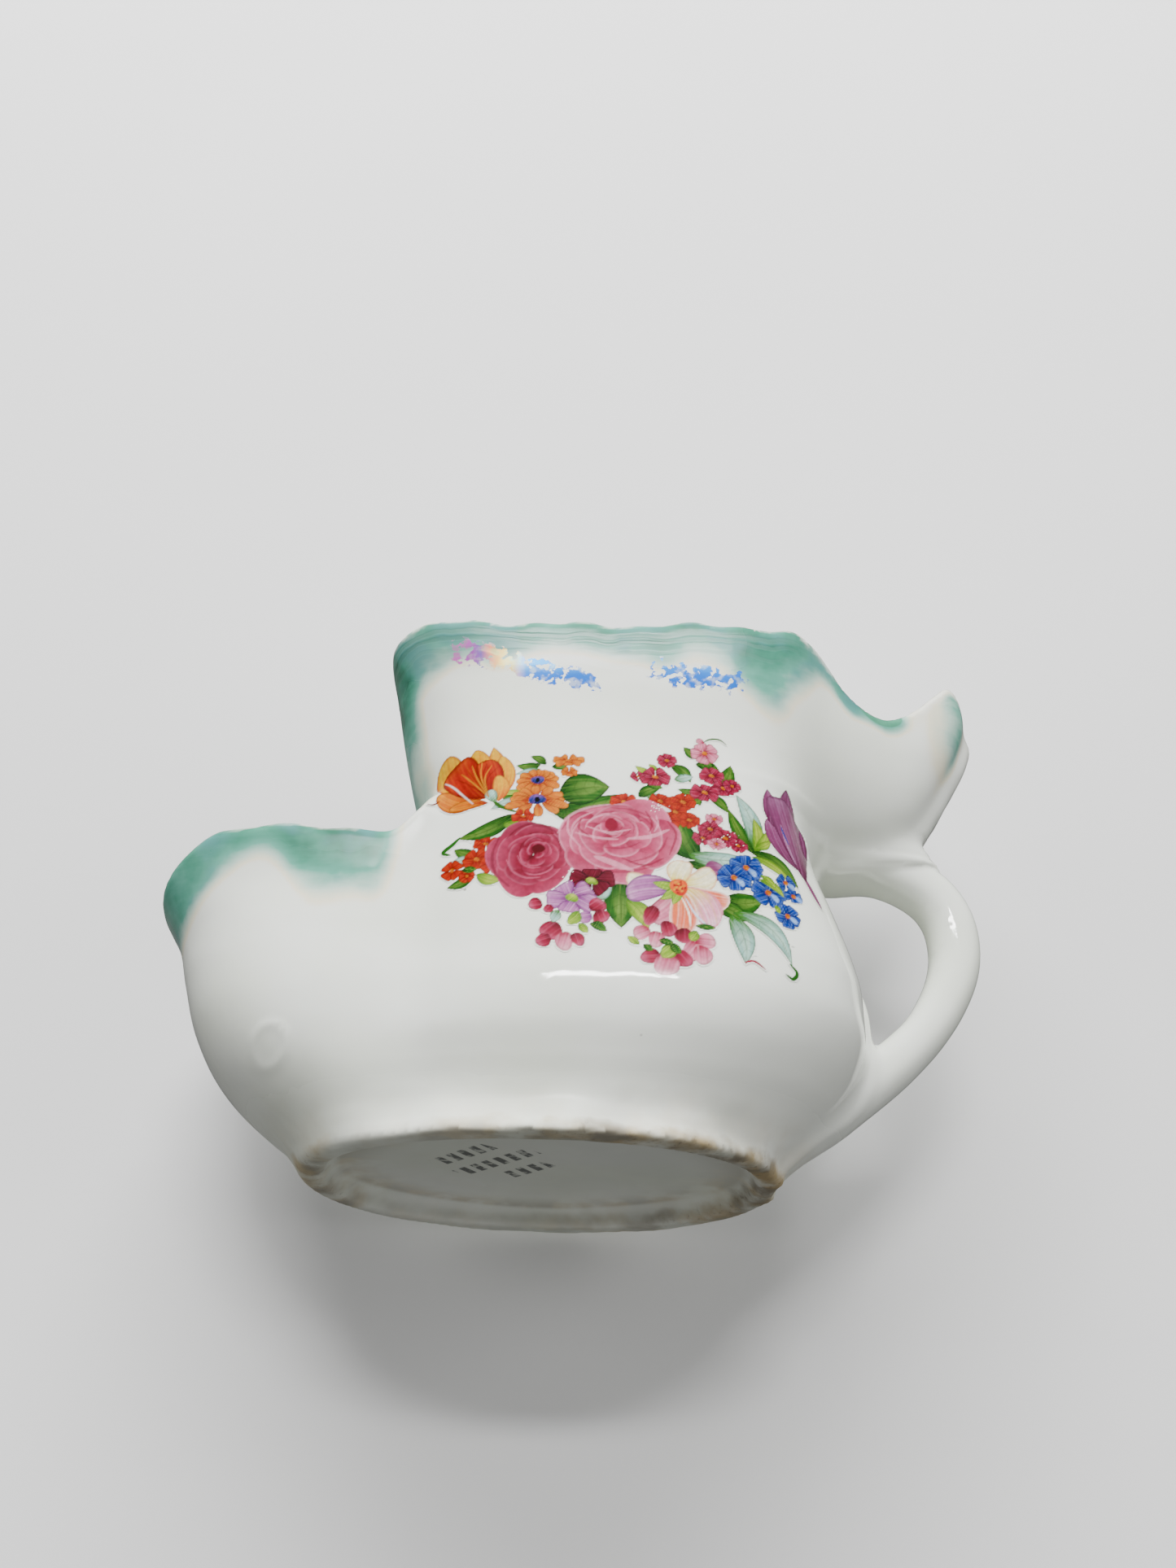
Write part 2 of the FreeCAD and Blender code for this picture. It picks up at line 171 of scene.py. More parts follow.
WALL, FLOOR = 3.8, 8.0
PASSAGE_TOP = 59.0  # top of the way from the chamber to the pocket
LIP_FILLET, POCKET_FILLET, CHAMBER_FILLET = 9.0, 7.0, 9.0
RIM_ROUNDING, MOUTH_ROUNDING, FOOT_ROUNDING, INNER_ROUNDING = 2.2, 2.6, 1.4, 0.8
RECESS_LONG, RECESS_WIDE, RECESS_DEEP = 37.5, 30.5, 3.5  # half sizes and depth of the foot's hollow


def outline(x, y, front, back, half, square):
    """How far a point is outside a squared oval, measured across it."""
    long_way = np.abs(x - (front + back) / 2) / ((back - front) / 2)
    short_way = np.abs(y) / half
    reach = (long_way ** square + short_way ** square) ** (1 / square) + 1e-9
    slope_x = (long_way / reach) ** (square - 1) / ((back - front) / 2)
    slope_y = (short_way / reach) ** (square - 1) / half
    return (reach - 1) / np.sqrt(slope_x ** 2 + slope_y ** 2 + 1e-9)


def walled(section, x, y, z):
    """Turn a section that varies with height into a true distance near it."""
    here = section(x, y, z)
    climb = (section(x, y, z + 0.25) - here) / 0.25
    return here / np.sqrt(1 + climb * climb)


def main_section(x, y, z):
    """The basin and the chamber under it, with faint lobes round the foot."""
    lobes = 0.35 * np.sin(x * 0.36) * (1 - step(z, 2, 8))
    half = curve(z, MAIN_HALF) + lobes
    return outline(x, y, curve(z, MAIN_FRONT), curve(z, MAIN_BACK), half, curve(z, MAIN_SQUARE))


def pocket_section(x, y, z):
    """The brush pocket, open to the chamber."""
    return outline(x, y, curve(z, POCKET_FRONT), 2.0, curve(z, POCKET_HALF), curve(z, POCKET_SQUARE))


def lip_section(x, y, z):
    """The back lip, which flares and narrows towards its horns."""
    half = curve(x, LIP_TAPER) * curve(z, LIP_FLARE)
    return outline(x, y, 10.0, curve(z, LIP_BACK), half, 4.6)


def rim_height(x, y):
    """Height of the basin's rim, with its scallops, its saddle and its horns."""
    scallops = 0.45 * np.sin(x * 0.27 + 0.8) + 0.3 * np.sin(x * 0.61 + y * 0.05)
    top = HEIGHT - 0.6 + scallops * (1 - step(x, 46, 52)) + curve(x, RIM_EDGE)
    dip = 8.0 * (1 - step(np.abs(y), 4.0, 11.5)) * step(x, 72, 79)
    return top - dip


def mouth_height(x):
    """Height of the brush pocket's rim: high at the sides, low in front."""
    return curve(x, MOUTH_EDGE) + 0.3 * np.sin(x * 0.5)


def shell(x, y, z):
    """The cast body, without its handle."""
    main, pocket, lip = [walled(part, x, y, z) for part in (main_section, pocket_section, lip_section)]
    rim, mouth = rim_height(x, y), mouth_height(x)
    depth = rim - z
    ripple = 0.10 * np.sin(x * 0.21 + z * 0.13) * np.sin(z * 0.17 - x * 0.05 + y * 0.1)
    ridges = 0.16 * np.exp(-((depth - 3.4) / 1.2) ** 2) + 0.08 * np.exp(-((depth - 6.8) / 1.2) ** 2)
    ridges = ridges * (1 - step(x, 44, 50)) * (0.5 + 0.5 * np.sin(x * 0.17 + y * 0.21))
    upper = join(main + ripple - ridges, lip, LIP_FILLET)
    pocket = pocket + ripple + 5.0 * step(x, -28, -10)
    upper_wall = cut(cut(upper, -upper - WALL, INNER_ROUNDING), z - rim, RIM_ROUNDING)
    pocket_wall = cut(cut(pocket, -pocket - WALL, INNER_ROUNDING), z - mouth, MOUTH_ROUNDING)
    whole = join(upper_wall, pocket_wall, POCKET_FILLET)
    whole = np.minimum(whole, cut(join(upper, pocket, POCKET_FILLET), z - FLOOR, 0.5))
    upper_hollow = cut(upper + WALL, FLOOR - z, CHAMBER_FILLET)
    pocket_hollow = cut(pocket + WALL, FLOOR - z, CHAMBER_FILLET)
    pocket_hollow = cut(pocket_hollow, z - np.minimum(mouth + 3.0, PASSAGE_TOP), 1.0)
    whole = cut(cut(whole, -upper_hollow, 1.2), -pocket_hollow, 1.6)
    recess = cut(outline(x, y, -RECESS_LONG, RECESS_LONG, RECESS_WIDE, 2.2), z - RECESS_DEEP, 5.0)
    return cut(cut(whole, -recess, 2.4), -z, FOOT_ROUNDING)


# ---- the handle casting ----

# the loop's middle line in X and Z, and its half thickness and half width at each of its points
LOOP = [
    (42, 65.0), (50, 65.2), (57, 65.2), (63.8, 64.6), (70.4, 62.6), (75.8, 58.9), (78.7, 53.6),
    (79.2, 47.5), (78.0, 41.7), (75.0, 35.6), (70.6, 29.6), (65.3, 24.6), (59.5, 20.0), (53.3, 15.4),
    (46.8, 11.2), (40.5, 8)]
LOOP_DEPTH = [
    (0, 4.6), (3, 4.5), (5, 4.9), (7, 4.8), (9, 4.3), (10, 4.1), (12, 4.5), (14, 4.2), (15, 3.6)]
LOOP_WIDTH = [(0, 6.5), (3, 6.0), (6, 5.4), (10, 5.2), (13, 5.8), (15, 5.5)]
LOOP_SQUARE, LOOP_RADIUS = 2.3, 4.7
STRAP_HALF, STRAP_FOOT, STRAP_TOP, STRAP_FRONT = 5.4, 5.0, 63.0, 40.0
THUMB_PROUD, THUMB_FRONT, THUMB_TOP = 2.6, 58.0, HEIGHT - 6.0
BEDDED = 2.0  # how deep the handle is let into the wall
HANDLE_FRONT = 34.0  # the whole handle lies behind this
NOWHERE = 50.0  # a distance from the clay at which nothing joins


def loop_field(x, y, z):
    """The finger loop, an oval section swept along its path."""
    nearest, along = np.full(np.shape(x), 1e9), np.zeros(np.shape(x))
    for gap, place in runs(rounded_path(LOOP, 4), x, z):
        along = np.where(gap < nearest, place, along)
        nearest = np.minimum(nearest, gap)
    deep, wide = nearest / curve(along, LOOP_DEPTH), np.abs(y) / curve(along, LOOP_WIDTH)
    reach = (deep ** LOOP_SQUARE + wide ** LOOP_SQUARE) ** (1 / LOOP_SQUARE) + 1e-9
    return (reach - 1) * LOOP_RADIUS


def handle(x, y, z):
    """Loop, strap down the back of the mug and thumb rest up the lip."""
    main, lip = walled(main_section, x, y, z), walled(lip_section, x, y, z)
    strap = cut(main - (0.2 + 2.1 * step(z, 4, 14)), np.abs(y) - STRAP_HALF, 1.6)
    strap = cut(strap, np.maximum(STRAP_FRONT - x, np.maximum(z - STRAP_TOP, STRAP_FOOT - z)), 1.5)
    strap = np.maximum(strap, -main - BEDDED)
    thumb = cut(lip - THUMB_PROUD, np.abs(y) - (5.6 - 1.6 * step(z, 84, 95)), 3.0)
    thumb = cut(thumb, np.maximum(THUMB_FRONT - x, z - THUMB_TOP), 3.0)
    thumb = np.maximum(thumb, -lip - BEDDED)
    return join(join(loop_field(x, y, z), strap, 2.5), thumb, 6.0)


def hollow(x, y, z):
    """The basin and the chamber, which the handle must not reach into."""
    main, lip = walled(main_section, x, y, z), walled(lip_section, x, y, z)
    return np.maximum(join(main, lip, LIP_FILLET) + WALL, FLOOR - z)


def near_handle(field, x, y, z):
    """A field worked out only where the handle can reach."""
    values = np.full(np.shape(x), NOWHERE)
    near = x > HANDLE_FRONT
    values[near] = field(x[near], y[near], z[near])
    return values


def mug(x, y, z):
    """Body and handle as one glazed whole."""
    grip = near_handle(lambda *at: np.maximum(handle(*at), -hollow(*at)), x, y, z)
    return join(shell(x, y, z), grip, 4.0)


# ---- meshing ----

def gradient(field, points, reach=0.04):
    """The field's slope at each point, by central differences."""
    slopes = []
    for axis in range(3):
        shift = np.zeros(3)
        shift[axis] = reach
        slopes.append((field(*(points + shift).T) - field(*(points - shift).T)) / (2 * reach))
    return np.stack(slopes, axis=1)


def settle(field, points, rounds=3):
    """Move points onto the field's zero surface along its slope."""
    for _ in range(rounds):
        slope = gradient(field, points)
        lift = field(*points.T) / np.maximum((slope ** 2).sum(axis=1), 0.05)
        points = points - np.clip(lift, -0.8, 0.8)[:, None] * slope
    return points


def surface_net(field, low, high, pitch):
    """Vertices and quads of the field's zero surface on a cubic grid."""
    axes = [np.arange(a, b + pitch, pitch) for a, b in zip(low, high)]
    values = field(*np.meshgrid(*axes, indexing="ij"))
    inside = values < 0
    corners = [(i, j, k) for i in (0, 1) for j in (0, 1) for k in (0, 1)]
    shape = np.array(values.shape) - 1

    def block(array, offset):
        return array[tuple(slice(o, o + n) for o, n in zip(offset, shape))]

    count = sum(block(inside, corner).astype(np.int8) for corner in corners)
    cells = np.argwhere((count > 0) & (count < 8))
    number = np.full(shape, -1)
    number[tuple(cells.T)] = np.arange(len(cells))
    at = {corner: values[tuple((cells + corner).T)] for corner in corners}
    total, crossings = np.zeros((len(cells), 3)), np.zeros(len(cells))
    for one in corners:
        for axis in range(3):
            if one[axis]:
                continue
            other = tuple(c + (n == axis) for n, c in enumerate(one))
            a, b = at[one], at[other]
            crossed = (a < 0) != (b < 0)
            place = np.tile(np.array(one, float), (len(cells), 1))
            place[:, axis] += np.where(crossed, a / np.where(crossed, a - b, 1), 0)
            total += np.where(crossed[:, None], place, 0)
            crossings += crossed
    points = np.array(low) + (cells + total / crossings[:, None]) * pitch
    quads = []
    for axis in range(3):
        u, v = [n for n in range(3) if n != axis]
        first = inside[tuple(slice(1, -1) if n != axis else slice(0, -1) for n in range(3))]
        last = inside[tuple(slice(1, -1) if n != axis else slice(1, None) for n in range(3))]
        for leaving in (True, False):
            edges = np.argwhere((first != last) & (first == leaving))
            edges[:, [u, v]] += 1
            ring = []
            for du, dv in ((-1, -1), (0, -1), (0, 0), (-1, 0)):
                cell = edges.copy()
                cell[:, u] += du
                cell[:, v] += dv
                ring.append(number[tuple(cell.T)])
            turned = leaving == (axis != 1)
            quads.append(np.stack(ring if turned else ring[::-1], axis=1))
    return points, np.concatenate(quads)


def relax(points, quads, field, rounds=2):
    """Even out the quads, keeping every point on the surface."""
    for _ in range(rounds):
        total, count = np.zeros_like(points), np.zeros(len(points))
        for side in range(4):
            a, b = quads[:, side], quads[:, (side + 1) % 4]
            np.add.at(total, a, points[b])
            np.add.at(total, b, points[a])
            np.add.at(count, a, 1)
            np.add.at(count, b, 1)
        middle = total / count[:, None]
        slope = gradient(field, points)
        slope /= np.linalg.norm(slope, axis=1)[:, None] + 1e-9
        move = (middle - points) * 0.5
        points = points + move - (move * slope).sum(axis=1)[:, None] * slope
        points = settle(field, points, 1)
    return points


def to_metres(points):
    """From millimetres about the foot's centre to the frame."""
    return (points + np.array([FOOT_X, 0.0, 0.0])) * MM


def add_object(name, data):
    """Put a mesh, lamp or camera into the scene."""
    thing = bpy.data.objects.new(name, data)
    bpy.context.scene.collection.objects.link(thing)
    return thing


def make_piece(name, points, faces, normals, replaced, material):
    """A mesh piece from points in millimetres about the foot's centre."""
    mesh = bpy.data.meshes.new(name)
    mesh.from_pydata(to_metres(points).tolist(), [], faces.tolist())
    mesh.polygons.foreach_set("use_smooth", [True] * len(mesh.polygons))
    mesh.normals_split_custom_set_from_vertices(normals.tolist())
    mesh.materials.append(material)
    piece = add_object(name, mesh)
    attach(piece, "root")
    if replaced:
        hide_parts(*replaced)
    return piece


def part_of(faces, keep):
    """The faces to keep, renumbered for the points that they use, and which points those are."""
    used, faces = np.unique(faces[keep], return_inverse=True)
    return used, faces.reshape(-1, 4)


def add_values(piece, name, values):
    """Store one number for each point of a piece."""
    piece.data.attributes.new(name, "FLOAT", "POINT").data.foreach_set("value", values.astype(np.float32))


# ---- printed transfers ----

INK_DEPTH = 3.9  # inks lie on white, so they are printed deep


def ink(code):
    """Linear colour of a printing ink, from its hex code."""
    return (np.array(list(bytes.fromhex(code))) / 255) ** INK_DEPTH


def inks_of(codes):
    """A flower's or leaf's four inks: inner end, middle, outer end and edge."""
    return [ink(code) for code in codes.split()]


PAPER = ink("e9eae6")
GREEN = inks_of("397429 528d3c b2c878 2a5f22")
LIME = inks_of("7fa83a a9c353 e2e58a 6b9434")
PALE = inks_of("6f9f50 b9d6d0 e3efe2 4c863a")
CRIMSON = inks_of("84173c ac3d64 c56c8a d58ca4")
ROSE = inks_of("a8335f c8688a dc94ac edbccb")
BLUSH = inks_of("b7446c e09fb4 f3cdd6 9c2c55")
BERRY = inks_of("8d1f49 b8456d d98aa6 76143b")
WINE = inks_of("6f0f38 8f234c b04f74 5c0a2c")
LILAC = inks_of("9c5c9c c793bf e6c6dc 8d4c8c")
VIOLET = inks_of("8f4a76 a96f95 cba6c2 7f3f68")
SCARLET = inks_of("a53602 c44c00 df8518 8f3002")
AMBER = inks_of("b85a04 d9950c ecc03a 964c06")
GOLD = inks_of("da8412 e9bd20 ecdc60 c0600c")
BLUE = inks_of("1b4791 2f66b3 a9c6ec 173f86")
SKY = inks_of("7fa6dc a9c6ec dfeaf8 4f7fc4")
CREAM = inks_of("e9dc6e f6f1d8 fbf8ee e0a878")
SALMON = inks_of("e7a25e e98f72 f7ddd2 f8efe8")
PINK_WHITE = inks_of("e7d67e eab4c8 fbf4f4 df8fae")
DAISY_EYE = inks_of("34447e 4f62a6 b48cc4 2c3468")
LILY_HEART = inks_of("cf4a0c e87414 f3a13c c2440c")
STEM = ink("5d8a3a")
SOFT = 0.08  # how far an ink's edge fades, each way
INK_LIFT = 0.06  # the transfer's height over the glaze


def grain(at, seed):
    """Smooth uneven brush marks along a line, between -1 and 1."""
    return (np.sin(at * 3.1 + seed) + np.sin(at * 7.3 + seed * 2.1) + np.sin(at * 13.9 + seed * 3.7)) / 3


def blend(first, second, amount):
    """Mix two inks, point by point."""
    return first + (second - first) * np.clip(amount, 0, 1)[..., None]


class Sheet:
    """Transfer paper: the ink and its cover at every point of a grid, in millimetres."""

    def __init__(self, low, high, pitch):
        self.low, self.pitch = low, pitch
        axes = [np.arange(start, end, pitch) for start, end in zip(low, high)]
        self.across, self.up = np.meshgrid(*axes, indexing="ij")
        self.ink = np.ones(self.across.shape + (3,)) * PAPER
        self.cover = np.zeros(self.across.shape)

    def near(self, middle, reach):
        """The block of the grid within reach of a point."""
        ends = [[int(max((m + side * reach - a) / self.pitch, 0)) for side in (-1, 1)]
                for m, a in zip(middle, self.low)]
        return tuple(slice(first, last + 1) for first, last in ends)

    def lay(self, middle, reach, draw, strength=1.0):
        """Print a shape that draw gives as distance outside it and ink."""
        block = self.near(middle, reach)
        outside, colour = draw(self.across[block] - middle[0], self.up[block] - middle[1])
        cover = step(-outside, -SOFT, SOFT) * strength
        self.ink[block] = blend(self.ink[block], colour, cover)
        self.cover[block] = 1 - (1 - self.cover[block]) * (1 - cover)

    def wear(self, middle, reach, amount, seed):
        """Rub flecks of ink away near a point."""
        block = self.near(middle, reach)
        x, z = self.across[block] - middle[0], self.up[block] - middle[1]
        flecks = grain(x * 2.1 + 0.6 * grain(z, seed), seed) * grain(z * 2.7 + 0.5 * grain(x, seed), seed + 2)
        fade = 1 - step(np.hypot(x, z) / reach, 0.3, 1.0)
        self.cover[block] *= 1 - step(flecks + fade * amount, 0.42, 0.5) * (fade > 0)


def petal(sheet, root, tip, width, inks, bend=0.0, blunt=0.75, seed=0.0, streaks=1.0, strength=1.0):
    """A petal or leaf: its middle line bows by bend of its length, its end is blunt or pointed."""
    root, tip = np.array(root, float), np.array(tip, float)
    length = np.linalg.norm(tip - root)
    along = (tip - root) / length
    taper = 1.35 - 1.15 * blunt
    widest = 0.75 / (0.75 + taper)
    peak = widest ** 0.75 * (1 - widest) ** taper

    def draw(x, z):
        u = (x * along[0] + z * along[1]) / length + 0.5
        t = np.clip(u, 0, 1)
        v = z * along[0] - x * along[1] - bend * length * 4 * t * (1 - t)
        half = width / 2 * t ** 0.75 * (1 - t) ** taper / peak
        outside = np.maximum(np.abs(v) - half, (np.abs(u - 0.5) - 0.5) * length)
        colour = blend(inks[0], inks[1], step(t, 0.05, 0.7))
        marks = grain(v / width * 4 + t * 0.9, seed + 1) * streaks
        colour = blend(colour, inks[2], np.clip(marks, 0, 1) * 0.55 + 0.35 * step(t, 0.75, 1.0))
        colour = blend(colour, inks[0], np.clip(-marks, 0, 1) * 0.35)
        rim = step(outside, -0.12 - 0.11 * width, -0.03) * step(width, 0.3, 1.4)
        return outside, blend(colour, inks[3], rim * 0.75)

    sheet.lay((root + tip) / 2, length / 2 + width + abs(bend) * length, draw, strength)


def leaf(sheet, root, tip, width, inks, bend, seed):
    """A pointed leaf, lighter along its middle, with faint side veins."""
    petal(sheet, root, tip, width, inks, bend, 0.35, seed, 0.45)
    root, tip = np.array(root, float), np.array(tip, float)
    side = np.array([root[1] - tip[1], tip[0] - root[0]])
    middle = [root + (tip - root) * t + side * bend * 4 * t * (1 - t) for t in (0.1, 0.3, 0.5, 0.7, 0.9)]
    lighter = [inks[1], inks[2], inks[2], inks[1]]
    petal(sheet, middle[0], middle[4], width * 0.5, lighter, bend * 0.8, 0.4, seed, 0.8, 0.35)
    stroke(sheet, middle, 0.2, inks[3], 0.5)
    if width > 3:
        out = side / np.linalg.norm(side) * width * 0.32
        ahead = (tip - root) * 0.13
        for start in middle[1:4]:
            for way in (-1, 1):
                vein = [start, start + ahead * 0.4 + way * out * 0.5, start + ahead + way * out]
                stroke(sheet, vein, 0.18, inks[3], 0.35)


def stroke(sheet, points, width, colour, strength=1.0):
    """A brush stroke through points, thinner at its ends."""
    path = rounded_path(points, 5)
    middle = np.array([path[0].mean(), path[1].mean()])
    reach = np.hypot(path[0] - middle[0], path[1] - middle[1]).max() + width
    last = len(points) - 1

    def draw(x, z):
        outside = np.full(x.shape, 1e3)
        for gap, place in runs(path, x + middle[0], z + middle[1]):
            half = width / 2 * (0.3 + 0.7 * np.sin(np.pi * place / last) ** 0.6)
            outside = np.minimum(outside, gap - half)
        return outside, np.ones(x.shape + (3,)) * colour

    sheet.lay(middle, reach, draw, strength)


def bead(sheet, centre, wide, tall, inks, turn=0.0, seed=0.0, marked=1.0):
    """A cupped petal or bud, dark at its inner end and pale round its outer edge."""
    right, up = math.cos(turn), math.sin(turn)

    def draw(x, z):
        a, b = (x * right + z * up) / (tall / 2), (z * right - x * up) / (wide / 2)
        reach = np.hypot(a, b) * (1 + 0.05 * np.sin(3 * np.arctan2(b, a + 1e-9) + seed)) + 1e-9
        outside = (reach - 1) * min(tall, wide) / 2
        colour = blend(inks[0], inks[1], step(a, -1.0, 0.1))
        colour = blend(colour, inks[2], step(a, 0.0, 1.0) * 0.75)
        marks = grain(b * 1.3 + a * 0.4, seed) * marked
        colour = blend(colour, inks[0], np.clip(marks, 0, 1) * 0.45)
        colour = blend(colour, inks[2], np.clip(-marks, 0, 1) * 0.35)
        edge = step(outside, -0.45, -0.1) * step(a + 0.5 * np.sin(b * 2 + seed), -0.2, 0.7)
        return outside, blend(colour, inks[3], edge * 0.5)

    sheet.lay(centre, max(wide, tall) / 2, draw)


def blossom(sheet, centre, size, inks, petals, flat, turn, heart=AMBER, heart_size=0.2):
    """A small open flower, seen flatter than it is wide."""
    centre = np.array(centre, float)
    width = 2 * math.pi * size / petals * (0.55 + 0.35 * flat) * 0.9
    for k in range(petals):
        angle = turn + 2 * math.pi * k / petals
        out = np.array([math.cos(angle), math.sin(angle) * flat]) * size
        petal(sheet, centre + out * 0.08, centre + out, width, inks, 0.0, 0.95, k * 2.3 + size)
    bead(sheet, centre, heart_size * 2 * size, heart_size * 2 * size * max(flat, 0.6), heart, 1.2, size)


def rose(sheet, centre, heart, wide, tall, inks, seed):
    """A full rose: rings of cupped petals, closing in on an off-centre heart."""
    random = np.random.default_rng(seed)
    centre, heart = np.array(centre, float), np.array(heart, float)
    for ring, (size, count) in enumerate(((1.0, 6), (0.76, 5), (0.56, 5), (0.38, 4), (0.22, 3))):
        for k in range(count):
            angle = 2 * math.pi * (k + 0.5 * (ring % 2)) / count + random.uniform(-0.3, 0.3) + 1.0
            out = np.array([math.cos(angle) * wide, math.sin(angle) * tall]) / 2
            place = centre * size + heart * (1 - size) + out * size * 0.60
            across = (wide + tall) / 2 * size * random.uniform(0.54, 0.68)
            turn = math.atan2(out[1], out[0]) + random.uniform(-0.4, 0.4)
            shade = random.uniform(-0.35, 0.35)
            towards = inks[0 if shade < 0 else 2]
            toned = [tone + (towards - tone) * abs(shade) for tone in inks]
            deep = across * random.uniform(0.66, 0.8)
            bead(sheet, place, across, deep, toned, turn, random.uniform(0, 9), 0.5)
    bead(sheet, heart, wide * 0.11, tall * 0.15, [inks[0]] * 4)
    for k in range(16):
        size, start = 0.07 + 0.041 * k, random.uniform(0, 2 * math.pi)
        angles = np.linspace(start, start + random.uniform(0.8, 1.7), 4)
        arc = np.stack([np.cos(angles) * wide, np.sin(angles) * tall], axis=1) * size * 0.7
        stroke(sheet, heart + (centre - heart) * size + arc, 0.22 + 0.02 * k, inks[(0, 0, 3, 0)[k % 4]], 0.5)


def daisy(sheet, centre, wide, tall, seed):
    """An orange daisy with a violet eye, drooping towards its lower petals."""
    centre = np.array(centre, float)
    for k in range(12):
        angle = 2 * math.pi * (k + 0.3 * math.sin(seed + k)) / 12
        reach = 1.0 + 0.25 * (math.sin(angle) < -0.2)
        out = np.array([math.cos(angle) * wide, math.sin(angle) * tall]) * reach
        petal(sheet, centre + out * 0.2, centre + out, 1.9, AMBER, 0.02, 0.75, seed + k)
    bead(sheet, centre, wide * 0.62, tall * 0.72, DAISY_EYE, math.pi / 2, seed)
    bead(sheet, centre, wide * 0.26, tall * 0.3, [ink("231c30")] * 4)


# root, tip, width, inks, bend and bluntness of the petals, from the flower's middle
TULIP = [
    ((4.6, -4.0), (3.7, 5.9), 4.2, GOLD, -0.05, 0.35), ((5.3, -6.2), (5.4, 3.8), 3.8, GOLD, -0.10, 0.6),
    ((3.0, -4.0), (0.5, 5.7), 4.8, GOLD, 0.0, 0.6), ((3.0, -5.6), (-5.6, 5.4), 6.6, GOLD, 0.12, 0.75),
    ((2.4, -6.2), (-6.2, -3.4), 4.6, AMBER, 0.10, 0.75), ((3.6, -5.4), (-3.4, 3.2), 7.4, SCARLET, 0.06, 0.95),
    ((3.6, -6.7), (-3.6, -6.8), 2.4, AMBER, -0.05, 0.7), ((4.8, -5.6), (2.0, 3.0), 4.8, SCARLET, -0.06, 0.85),
    ((5.4, -6.6), (4.9, -0.6), 3.2, GOLD, -0.10, 0.6), ((4.9, -6.8), (3.4, -3.8), 2.2, PALE, 0.0, 0.8)]


def tulip(sheet, centre):
    """The parrot tulip at the spray's left, its base at the lower right."""
    centre = np.array(centre, float)
    for root, tip, width, inks, bend, blunt in TULIP:
        petal(sheet, centre + root, centre + tip, width, inks, bend, blunt, root[0] + tip[1])
    for k in range(9):
        lean, reach = -6.4 + 1.05 * k, 5.4 + 2.6 * math.sin(0.35 * k)
        vein = [(3.6, -5.4), (2.2 + lean * 0.35, reach * 0.6 - 5.2), (2.8 + lean * 0.9, reach - 5.2)]
        stroke(sheet, centre + vein, 0.26, (SCARLET[3], AMBER[2])[k % 2], 0.6)
    stroke(sheet, centre + [(-5.6, -4.6), (-6.6, -5.4), (-7.8, -5.3)], 0.4, AMBER[3])
    stroke(sheet, centre + [(-5.2, 0.4), (-2.4, -2.6), (0.8, -6.4)], 0.34, PAPER, 0.85)


def lily(sheet, centre):
    """The open lily at the foot of the pink rose."""
    centre = np.array(centre, float)
    for tip, width, inks, bend in (
            ((6.0, 3.6), 4.4, CREAM, -0.12), ((-8.8, 1.8), 4.0, CREAM, 0.12),
            ((8.4, -2.4), 4.6, SALMON, -0.12), ((-8.8, -1.8), 5.0, LILAC, -0.10),
            ((-4.6, -7.2), 6.0, BLUSH, 0.14), ((5.6, -7.6), 5.2, PINK_WHITE, 0.14),
            ((0.4, -9.2), 4.8, SALMON, 0.04), ((1.0, 5.4), 4.4, CREAM, 0.1)):
        petal(sheet, centre, centre + tip, width, inks, bend, 0.8, tip[0])
    for tip in ((-4.5, 0.8), (-3.2, -2.6), (-1.2, -3.6)):
        petal(sheet, centre, centre + tip, 1.8, LIME, 0.05, 0.3, tip[0])
    stroke(sheet, centre + [(1.0, -2.2), (2.6, -5.4), (5.0, -8.0)], 0.34, SKY[2])
    stroke(sheet, centre + [(0.4, -2.2), (1.4, -5.0), (1.6, -7.6)], 0.30, CREAM[2])
    bead(sheet, centre, 3.0, 3.4, LILY_HEART, 1.9, 2.0)
    for k in range(16):
        angle, out = 2.4 * k, 0.3 + 0.06 * k
        spot = centre + (out * math.cos(angle), out * math.sin(angle))
        bead(sheet, spot, 0.5, 0.5, (GOLD, SCARLET)[k % 2], 0.0, k, 0.0)


def ribbon_tulip(sheet, root):
    """The narrow violet tulip that runs down into the crease by the handle."""
    root = np.array(root, float)
    stroke(sheet, root + [(2.6, -4.2), (1.0, -1.2), (-0.8, 2.2)], 0.9, VIOLET[1])
    for foot, tip, width, bend, blunt in (
            ((-1.0, 2.0), (-6.2, 11.6), 3.8, 0.08, 0.8), ((-0.3, 2.0), (-1.0, 14.4), 3.6, -0.04, 0.8),
            ((-5.2, 10.0), (-5.9, 18.2), 3.2, 0.0, 0.4), ((-2.4, 10.5), (-1.9, 19.8), 3.6, 0.0, 0.4),
            ((0.0, 0.2), (-4.3, 17.2), 6.0, -0.02, 0.95)):
        petal(sheet, root + foot, root + tip, width, VIOLET, bend, blunt, tip[1], 0.8)
    stroke(sheet, root + [(-1.6, 3.4), (-3.0, 7.2), (-3.8, 11.2)], 0.5, VIOLET[2], 0.8)
    stroke(sheet, root + [(-2.6, 7.4), (-3.4, 9.4), (-3.8, 10.8)], 0.34, BLUE[1])


